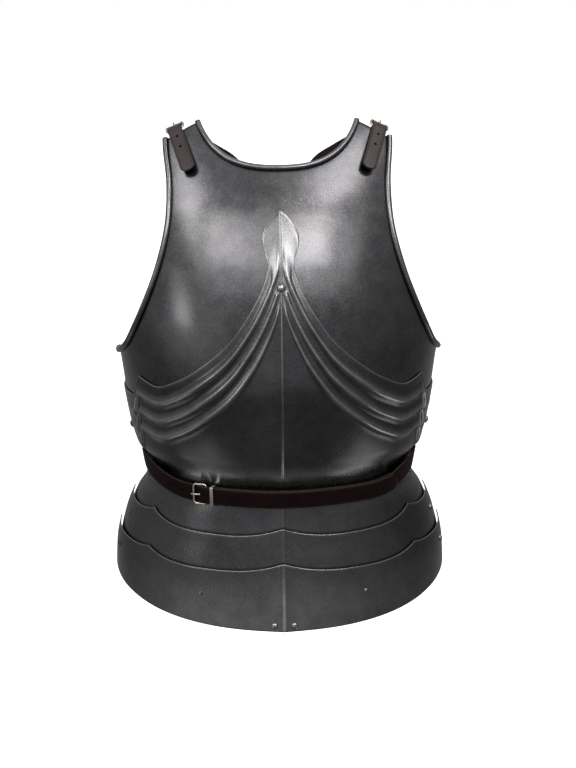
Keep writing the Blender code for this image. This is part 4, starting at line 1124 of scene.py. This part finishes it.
# %% The tree that punches holes
punch_tree, start, punch_ids = group("punch_holes", (
    ("Spots", "Object", None), ("Radius", "Float", 0.0016), ("Depth", "Float", 0.010),
    ("Material", "Material", None)))
spots = punch_tree.node("GeometryNodeObjectInfo", {"transform_space": "RELATIVE"},
                        {"Object": start.other("Spots")}, "Geometry")
punch = punch_tree.node("GeometryNodeMeshCylinder", {},
                        {"Vertices": 20, "Radius": start.other("Radius"), "Depth": start.other("Depth")})
solid = punch_tree.node("GeometryNodeRealizeInstances", {}, {0: on_points(punch_tree, spots, punch, {})})
holed = punch_tree.node("GeometryNodeMeshBoolean", {"operation": "DIFFERENCE", "solver": "EXACT"},
                        {0: start, 1: solid})
close(punch_tree, holed, start.other("Material"))


def punched(name, mesh, seats, material):
    """A strap with a hole through each seat."""
    spots = put(name + "_spots", point_mesh(name + "_spots", seats, 1.0))
    made = grow(name, mesh, punch_tree, punch_ids, {"Spots": spots, "Material": material})
    bpy.data.objects.remove(spots, do_unlink=True)
    smoothed(made.data)
    return made


print("punch_holes takes", sorted(punch_ids))

# %% [markdown]
# ## Waist belt
# One long strap starts at its buckle on the right of the waist, goes once round the wearer, comes back
# through the buckle and laps over its own start to the tongue. It follows the body with the keel
# rounded off, because stiff leather bridges a keel.

# %% Belt
BELT_WIDTH, BELT_TIP = 0.0205, 0.0095   # its width, and how far its tongue is rounded
BELT_FRONT_DROP, BELT_SIDE_DROP, BELT_RISE = 0.4275, 0.4095, (38.0, 84.0)
BUCKLE_TURN, TONGUE_TURN, BELT_DEGREE = -35.0, 54.0, 0.0026
BELT_LOW = layer_proud(2) + SHEET + 0.0015 + LEATHER / 2
LAYER_STEP = LEATHER + 0.0017           # from one thickness of strap to the one that laps it
FRAME_LENGTH, FRAME_HEIGHT, WIRE = 0.0190, 0.0264, 0.0013
FAR_BAR_LIFT = LEATHER / 2 + FIT + WIRE
HINGE_BAR_LIFT = LAYER_STEP - FAR_BAR_LIFT - 0.0005
BELT_START = BUCKLE_TURN + 4.6
CLIMB = (318.0, 332.0)                  # turns between which the belt climbs over its start
BELT_END, TIP_REACH, TIP_STATIONS = 360.0 + TONGUE_TURN, 3.6, 22
PRONG_HOLE = 360.0 + BUCKLE_TURN - 0.6
HOLE_STEP = 8.6                         # turn between two holes of the belt


def belt_drop(turn):
    from_front = np.abs((np.asarray(turn) + 180.0) % 360.0 - 180.0)
    return BELT_FRONT_DROP + (BELT_SIDE_DROP - BELT_FRONT_DROP) * ease(*BELT_RISE, from_front)


def belt_height(turn):
    """How far the belt's middle lies off the body; one layer further past its buckle."""
    clear = (FRAME_LENGTH / 2 - 2 * WIRE) / BELT_DEGREE
    middle = 360.0 + BUCKLE_TURN
    return BELT_LOW + LAYER_STEP * ease(middle - clear, middle + clear, turn)


def belt_at(turn):
    """The belt's middle at a turn and the way out there."""
    return (skin(turn, belt_drop(turn), belt_height(turn), soft=True),
            outward(turn, belt_drop(turn), soft=True))


tip_share = 1 - np.linspace(0.0, 1.0, TIP_STATIONS) ** 0.6
belt_turns = np.concatenate([np.arange(BELT_START, CLIMB[0], 1.0), np.arange(*CLIMB, 0.35),
                             np.arange(CLIMB[1], BELT_END - TIP_REACH, 0.9),
                             BELT_END - TIP_REACH * tip_share])
belt_line, belt_out = belt_at(belt_turns)
belt_mesh = strap_mesh("belt_strap", belt_line, belt_out, BELT_WIDTH, round_tip(belt_line, BELT_TIP))
hole_turns = [PRONG_HOLE + HOLE_STEP * k for k in (-2, -1, 0)]
belt = punched("belt_strap", belt_mesh, [belt_at(t) for t in hole_turns], BELT_HIDE)
ride(belt, "root", "belt_leather", "belt_strap")

# %% [markdown]
# ## Buckles
# A single-bar buckle is a bent wire frame, a prong that turns on the bar the strap is sewn round, and
# a keeper that holds the tongue down. Each part is a round section swept along its own path.

# %% Wire shapes
def rings(path, along, flat, radii, sides):
    """Points round a path, from the side that is square to both the path and flat."""
    side = unit(np.cross(along, np.broadcast_to(flat, path.shape)))
    up = np.cross(side, along)
    angle = 2 * np.pi * np.arange(sides) / sides
    radii = np.broadcast_to(radii, (len(path),))[:, None, None]
    return path[:, None] + radii * (np.cos(angle)[None, :, None] * side[:, None]
                                    + np.sin(angle)[None, :, None] * up[:, None])


def swept_loop(name, path, flat, radius, sides=16):
    """A round bar along a closed path."""
    points = rings(path, unit(np.roll(path, -1, 0) - np.roll(path, 1, 0)), flat, radius, sides)
    index = np.arange(len(path) * sides).reshape(len(path), sides)
    after = np.roll(index, -1, axis=0)
    faces = np.stack([index, np.roll(index, -1, 1), np.roll(after, -1, 1), after], -1)
    return new_mesh(name, points.reshape(-1, 3).tolist(), [], faces.reshape(-1, 4).tolist())


def placed(name, mesh, where, material):
    """Put a mesh at its place, turn its faces out and give it its finish."""
    face_out(mesh, where)
    smoothed(mesh)
    mesh.materials.append(material)
    return put(name, mesh)


def rounded_loop(length, height, corner, steps=7):
    """A rounded rectangle in the plane of x and y, as points."""
    points = []
    for quarter, (sx, sy) in enumerate(((1, 1), (-1, 1), (-1, -1), (1, -1))):
        for angle in np.radians(90 * quarter + np.linspace(0.0, 90.0, steps)):
            points.append((sx * (length / 2 - corner) + corner * math.cos(angle),
                           sy * (height / 2 - corner) + corner * math.sin(angle), 0.0))
    return np.array(points)


def framed(place, normal):
    """Axes at a place: x across the body, y up it, z outwards."""
    normal = Vector(normal.tolist())
    across = Vector((0, 0, 1)).cross(normal).normalized()
    turned = Matrix((across, normal.cross(across), normal)).transposed().to_4x4()
    return Matrix.Translation(Vector(place.tolist())) @ turned


def tilted(where, length):
    """The frame leans: its far bar lies over the strap and its hinge bar under it."""
    lean = math.atan2(FAR_BAR_LIFT - HINGE_BAR_LIFT, length - 2 * WIRE)
    middle = Matrix.Translation((0, 0, (FAR_BAR_LIFT + HINGE_BAR_LIFT) / 2))
    return where @ middle @ Matrix.Rotation(lean, 4, "Y")


print("bars lie at", round(FAR_BAR_LIFT, 4), "and", round(HINGE_BAR_LIFT, 4), "from the lower strap's middle")

# %% Buckle parts
FRAME_CORNER = 0.0036
PRONG, PRONG_TAPER, PRONG_PAST = 0.0011, 0.35, 0.0012   # a pin's radius, its taper, its reach past the bar
PRONG_STEPS, PRONG_SIDES = 26, 12
KEEPER_WALL, KEEPER_CORNER = 0.0008, 0.0009


def buckle(name, where, length, height):
    """The frame: a bent wire."""
    loop = rounded_loop(length - 2 * WIRE, height - 2 * WIRE, FRAME_CORNER)
    return placed(name, swept_loop(name, loop, (0.0, 0.0, 1.0), WIRE), tilted(where, length), NICKEL)


def prong(name, where, length):
    """The pin: it starts beside the hinge bar, rises through the slot and lies over the far bar."""
    rest = WIRE + PRONG + FIT
    inner = length / 2 - 2 * WIRE - FIT - 0.0004
    line = through(((inner, 0, 0), (0.4 * inner, 0, 0.25 * rest), (-0.55 * inner, 0, 0.95 * rest),
                    (-length / 2 + WIRE, 0, rest), (-length / 2 - PRONG_PAST, 0, rest - 0.0003)),
                   PRONG_STEPS, PLAIN)
    radii = PRONG * (1.0 - PRONG_TAPER * np.linspace(0.0, 1.0, PRONG_STEPS + 1) ** 2)
    points = rings(line, unit(np.gradient(line, axis=0)), (0.0, 1.0, 0.0), radii, PRONG_SIDES)
    mesh = new_mesh(name, points.reshape(-1, 3).tolist(), [], tube_faces(len(line), PRONG_SIDES))
    return placed(name, mesh, tilted(where, length), NICKEL)


def keeper(name, where, height, depth):
    """A flat metal band round both thicknesses of strap, its outer face rounded."""
    low, high = -LEATHER / 2 - FIT, LAYER_STEP + LEATHER / 2 + 2 * FIT
    loop = rounded_loop(high - low + KEEPER_WALL, height + 4 * FIT + KEEPER_WALL, KEEPER_CORNER, 5)
    path = np.stack([0 * loop[:, 0], loop[:, 1], loop[:, 0] + (high + low) / 2], -1)
    mesh = swept_loop(name, path, (1.0, 0.0, 0.0), 1.0)
    points = np.array([v.co[:] for v in mesh.vertices]).reshape(len(path), -1, 3)
    flattened = (points - path[:, None]) * (depth / 2, KEEPER_WALL / 2, KEEPER_WALL / 2)
    mesh.vertices.foreach_set("co", (path[:, None] + flattened).reshape(-1))
    return placed(name, mesh, where, NICKEL)


# %% Belt buckle
KEEPER_TURN, KEEPER_DEPTH = BUCKLE_TURN + 6.2, 0.0042


def belt_frame(turn):
    drop = belt_drop(turn)
    return framed(skin(turn, drop, BELT_LOW, soft=True), outward(turn, drop, soft=True))


where = belt_frame(BUCKLE_TURN)
ride(buckle("belt_buckle", where, FRAME_LENGTH, FRAME_HEIGHT), "root", "buckle_steel", "belt_buckle")
ride(prong("belt_prong", where, FRAME_LENGTH), "root", "buckle_steel", "belt_prong")
ride(keeper("belt_keeper", belt_frame(KEEPER_TURN), BELT_WIDTH, KEEPER_DEPTH), "root", "buckle_steel",
     "belt_keeper")

# %% [markdown]
# ## Shoulder straps
# Each strap starts as a tongue on the chest, passes through a small buckle on the shoulder point, goes
# over the shoulder, crosses the other strap between the shoulder blades and ends under the opposite
# arm, behind the side rivet. The buckles hang on short leathers, the chapes, riveted to the plate.

# %% Shoulder straps
STRAP_WIDTH, CHAPE_WIDTH = 0.0176, 0.0166
LANDING = (45.3, 0.0127)                # turn and drop where a strap comes down onto the plate
STRAP_LEAN, SHOULDER_FRAME, SHOULDER_HEIGHT = 28.0, 0.0150, 0.0235
BEND, BEND_ANGLE, BEND_START = 0.0045, math.radians(38.0), 0.0066
LANDED = BEND_START + BEND * BEND_ANGLE     # where the bend ends, along the strap from the frame's middle
CHAPE_LOW = FIT + LEATHER / 2 + 0.0008
TONGUE_LENGTH, TONGUE_LIFT, CHAPE_LENGTH = 0.0690, 0.0012, 0.0300
STRAP_TIP, CHAPE_TIP = 0.0062, 0.0040   # how far their ends are rounded
CHAPE_RIVET = 0.72                      # share of the chape's length at which its rivet sits
HOLES = (0.0005, 0.0195, 0.0345)        # distances of the punched holes from the frame's middle
OVER_SHOULDER = ((0.1200, -0.0060, -0.0150), (0.1080, 0.0110, -0.0225), (0.0945, 0.0250, -0.0302),
                 (0.0740, 0.0420, -0.0440), (0.0535, 0.0560, -0.0595))
DOWN_BACK = ((170.5, 0.0880, 0.0010), (180.0, 0.1120, 0.0010), (197.0, 0.1640, 0.0010),
             (222.0, 0.2420, 0.0010), (243.0, 0.2970, 0.0000), (257.0, 0.3330, -0.0030),
             (266.0, 0.3510, -0.0062), (274.0, 0.3600, -0.0062), (284.0, 0.3640, -0.0060))
CROSS_LIFT, CROSS_SPREAD = 0.0048, 24.0     # the right strap passes over the left one behind
BACK_STATIONS, TURN_OVER = 260, (0.010, 0.070)
SEARCH_FROM, SEARCH_STEPS, SEARCH_SHARE, SEARCH_RADIUS = 42.0, 12, 0.8, 0.13


def bend(x, height):
    """A place of the strap in the buckle's own axes, and the way out there."""
    turn = min(max(x - BEND_START, 0.0) / BEND, BEND_ANGLE)
    past = max(x - BEND_START - BEND * BEND_ANGLE, 0.0)
    reach = BEND + height
    place = Vector((min(x, BEND_START) + reach * math.sin(turn) + past * math.cos(turn), 0.0,
                    reach * math.cos(turn) - BEND - past * math.sin(turn)))
    return place, Vector((math.sin(turn), 0.0, math.cos(turn)))


def bent_at(where, x, height=0.0):
    """The same at a buckle that stands somewhere."""
    place, out = bend(x, height)
    return np.array(where @ place), np.array(where.to_3x3() @ out)


def tongue_lift(x):
    return TONGUE_LIFT * ease(LANDED, TONGUE_LENGTH, x)


def shoulder_frame(side):
    """Axes of a shoulder buckle: the bend leads from them down onto the plate."""
    turn, drop = LANDING
    turned = Matrix.Rotation(math.radians(-90.0 - STRAP_LEAN * side), 4, "Z")
    foot = Matrix.Translation(bend(LANDED, 0.0)[0]) @ Matrix.Rotation(BEND_ANGLE, 4, "Y")
    landing = framed(skin(side * turn, drop, CHAPE_LOW), outward(side * turn, drop))
    return landing @ turned @ foot.inverted()


def tongue_line(where):
    """The strap from its tip through the buckle: points, and the way out at each."""
    clear = SHOULDER_FRAME / 2 - 2 * WIRE
    x = np.concatenate([TONGUE_LENGTH - 0.0110 * np.linspace(0.0, 1.0, 26) ** 1.7,
                        np.linspace(0.0570, LANDED, 26), np.linspace(LANDED, BEND_START, 12)[1:],
                        np.linspace(clear, -clear, 13), [-0.0120]])
    height = LAYER_STEP * ease(-clear, clear, x) + tongue_lift(x)
    return [np.array(part) for part in zip(*(bent_at(where, *pair) for pair in zip(x, height)))]


def cross_strap_line(side, where):
    """Centre line of a strap and the way it faces, from its tongue to its far end."""
    front, front_out = tongue_line(where)
    over = CROSS_LIFT if side < 0 else 0.0
    down = [skin(side * t, d, p + over * math.exp(-((t - 180.0) / CROSS_SPREAD) ** 2))
            for t, d, p in DOWN_BACK]
    bridge = [np.array((side * a, b, c)) for a, b, c in OVER_SHOULDER]
    rest = through([front[-1]] + bridge + down, BACK_STATIONS, PLAIN)[1:]
    drop = -rest[:, 2]
    wide = read(SECTIONS[:, 0], SECTIONS[:, 1], drop)
    deep = np.maximum(read(SECTIONS[:, 0], SECTIONS[:, 3], drop), 0.02)
    turn = np.degrees(np.arctan2(rest[:, 0] / wide, -rest[:, 1] / deep))
    far = ease(*TURN_OVER, np.linalg.norm(rest - front[-1], axis=-1))[:, None]
    normal = np.array(where.to_3x3() @ Vector((0, 0, 1)))
    facing = normal + (outward(turn, drop) - normal) * far
    return np.vstack([front, rest]), np.vstack([front_out, facing])


def place_behind(point, side):
    """Turn and drop of the plate behind a point, closed in on in small steps."""
    turn, drop = SEARCH_FROM * side, -point[2]
    for _ in range(SEARCH_STEPS):
        here = skin(turn, drop, FIT + LEATHER / 2)
        turn += SEARCH_SHARE * math.degrees((point[0] - here[0]) / SEARCH_RADIUS)
        drop += SEARCH_SHARE * (here[2] - point[2])
    return turn, drop


def chape_line(side, where):
    """The chape leaves the buckle, bends with the strap and then lies on the plate."""
    first = SHOULDER_FRAME / 2 + 2 * FIT
    line = [bent_at(where, x) for x in np.linspace(first, LANDED, 10)]
    for x in np.linspace(LANDED, first + CHAPE_LENGTH, 24)[1:]:
        turn, drop = place_behind(bent_at(where, x)[0], side)
        line.append((skin(turn, drop, FIT + LEATHER / 2 + 0.0002), outward(turn, drop)))
    return [np.array(part) for part in zip(*line)]


def shoulder(side, label):
    """One side's strap, chape, buckle and pin; gives the seat of the rivet that holds the chape."""
    where = shoulder_frame(side)
    places, facing = cross_strap_line(side, where)
    mesh = strap_mesh("cross_strap_" + label, places, facing, STRAP_WIDTH,
                      round_tip(places[::-1], STRAP_TIP)[::-1])
    seats = [bent_at(where, x, LAYER_STEP + tongue_lift(x)) for x in HOLES]
    strap = punched("cross_strap_" + label, mesh, seats, STRAP_HIDE)
    ride(strap, "root", "strap_leather", "cross_strap_" + label)
    line, normals = chape_line(side, where)
    mesh = strap_mesh("chape", line, normals, CHAPE_WIDTH, round_tip(line, CHAPE_TIP))
    chape = placed("chape_" + label, mesh, Matrix(), STRAP_HIDE)
    ride(chape, "root", "strap_leather", "chape_" + label)
    wire = buckle("shoulder_buckle_" + label, where, SHOULDER_FRAME, SHOULDER_HEIGHT)
    ride(wire, "root", "buckle_steel", "shoulder_buckle_" + label)
    pin = prong("shoulder_prong_" + label, where, SHOULDER_FRAME)
    ride(pin, "root", "buckle_steel", "shoulder_prong_" + label)
    k = int(CHAPE_RIVET * (len(line) - 1))
    return line[k] + normals[k] * LEATHER / 2, normals[k]


chape_seats = [shoulder(side, label) for side, label in ((1, "left"), (-1, "right"))]
piece = grow("chape_rivets", point_mesh("chape_rivets", chape_seats, 0.0036), rivet_tree, rivet_ids,
             {"Height": 0.28, "Material": RIVET_STEEL})
ride(piece, "root", "rivet_steel", "chape_rivet_left", "chape_rivet_right")

# %% [markdown]
# ## Studio
# The harness hangs in a white room. A pale floor lies far below, at the height of a real wearer's feet.
# The room glows overhead and along the horizon ahead and is dim to the sides, which is what makes
# polished steel read as steel. A wide soft box faces the chest; narrow ones beside it draw the long
# highlights, and two low ones stand for light that comes back up off the floor.

# %% Floor
FLOOR_DROP, FLOOR_HALF = 1.45, 30.0
corners = [(FLOOR_HALF * a, FLOOR_HALF * b, -FLOOR_DROP) for a, b in ((-1, -1), (1, -1), (1, 1), (-1, 1))]
floor_mesh = new_mesh("floor", corners, [], [(0, 1, 2, 3)])
floor = put("floor", floor_mesh)
paint, tree, shader, _ = new_material("pale_floor")
tree.plug(shader, {"Base Color": (0.86, 0.86, 0.86, 1), "Roughness": 0.9,
                   "Emission Color": (1.0, 1.0, 1.0, 1), "Emission Strength": 0.80})
floor_mesh.materials.append(paint)
floor.visible_glossy = False
print("floor", FLOOR_DROP, "m below the shoulders")

# %% Room light
HORIZON = 0.24          # how high the glow along the horizon reaches

world = bpy.data.worlds.new("studio")
world.use_nodes = True
bpy.context.scene.world = world
room = Tree(world.node_tree)
backdrop = world.node_tree.nodes["Background"]
way = room.node("ShaderNodeTexCoord", {}, {}, "Generated")
toward = room.node("ShaderNodeSeparateXYZ", {}, {0: way})
across, along, high = toward.other("X"), toward.other("Y"), toward.other("Z")
horizon = math.e ** (0.0 - (high / HORIZON) ** 2.0)
ahead = (0.5 - 0.5 * along - 0.25 * across).clamped() ** 2.0
glow = 0.24 + 0.60 * horizon * ahead + 1.05 * high.clamped() ** 1.3
seen = room.node("ShaderNodeLightPath")
shade = room.node("ShaderNodeCombineXYZ", {}, {0: glow, 1: glow, 2: glow * 1.01})
room.plug(backdrop, {"Color": room.mix(seen, shade, (1, 1, 1, 1))})
print("room light nodes:", len(world.node_tree.nodes))

# %% Soft boxes
LIGHT_AIM, LIGHT_FAR = Vector((0.0, -0.12, -0.20)), 1.7


def soft_box(name, turn, rise, wide, high, bright):
    """A light box that faces the chest; its power follows from its size and brightness."""
    a, e = math.radians(turn), math.radians(rise)
    way = Vector((math.sin(a) * math.cos(e), -math.cos(a) * math.cos(e), math.sin(e)))
    data = bpy.data.lights.new(name, "AREA")
    data.shape = "RECTANGLE"
    data.size, data.size_y = wide, high
    data.energy = math.pi * wide * high * bright
    facing = way.to_track_quat("Z", "Y").to_matrix().to_4x4()
    put(name, data).matrix_world = Matrix.Translation(LIGHT_AIM + LIGHT_FAR * way) @ facing


#    name, turn, rise, width, height, brightness
BOXES = (
    ("front_box", -2.0, 37.0, 2.80, 0.84, 1.85),
    ("left_box", -27.0, 37.0, 0.52, 0.50, 4.6),
    ("left_high_box", -56.0, 45.0, 0.36, 0.58, 7.5),
    ("left_low_box", -56.0, 7.0, 0.34, 0.34, 4.0),
    ("right_box", 18.5, 37.5, 0.40, 0.54, 9.0),
    ("right_middle_box", 31.0, 46.0, 0.30, 0.40, 2.6),
    ("right_high_box", 44.0, 58.5, 0.60, 0.36, 10.5),
    ("right_bounce", 84.0, -53.0, 0.90, 0.55, 1.5),
    ("left_bounce", -74.0, -55.0, 0.90, 0.55, 0.8),
)
for row in BOXES:
    soft_box(*row)
bpy.context.scene.view_settings.view_transform = "Standard"
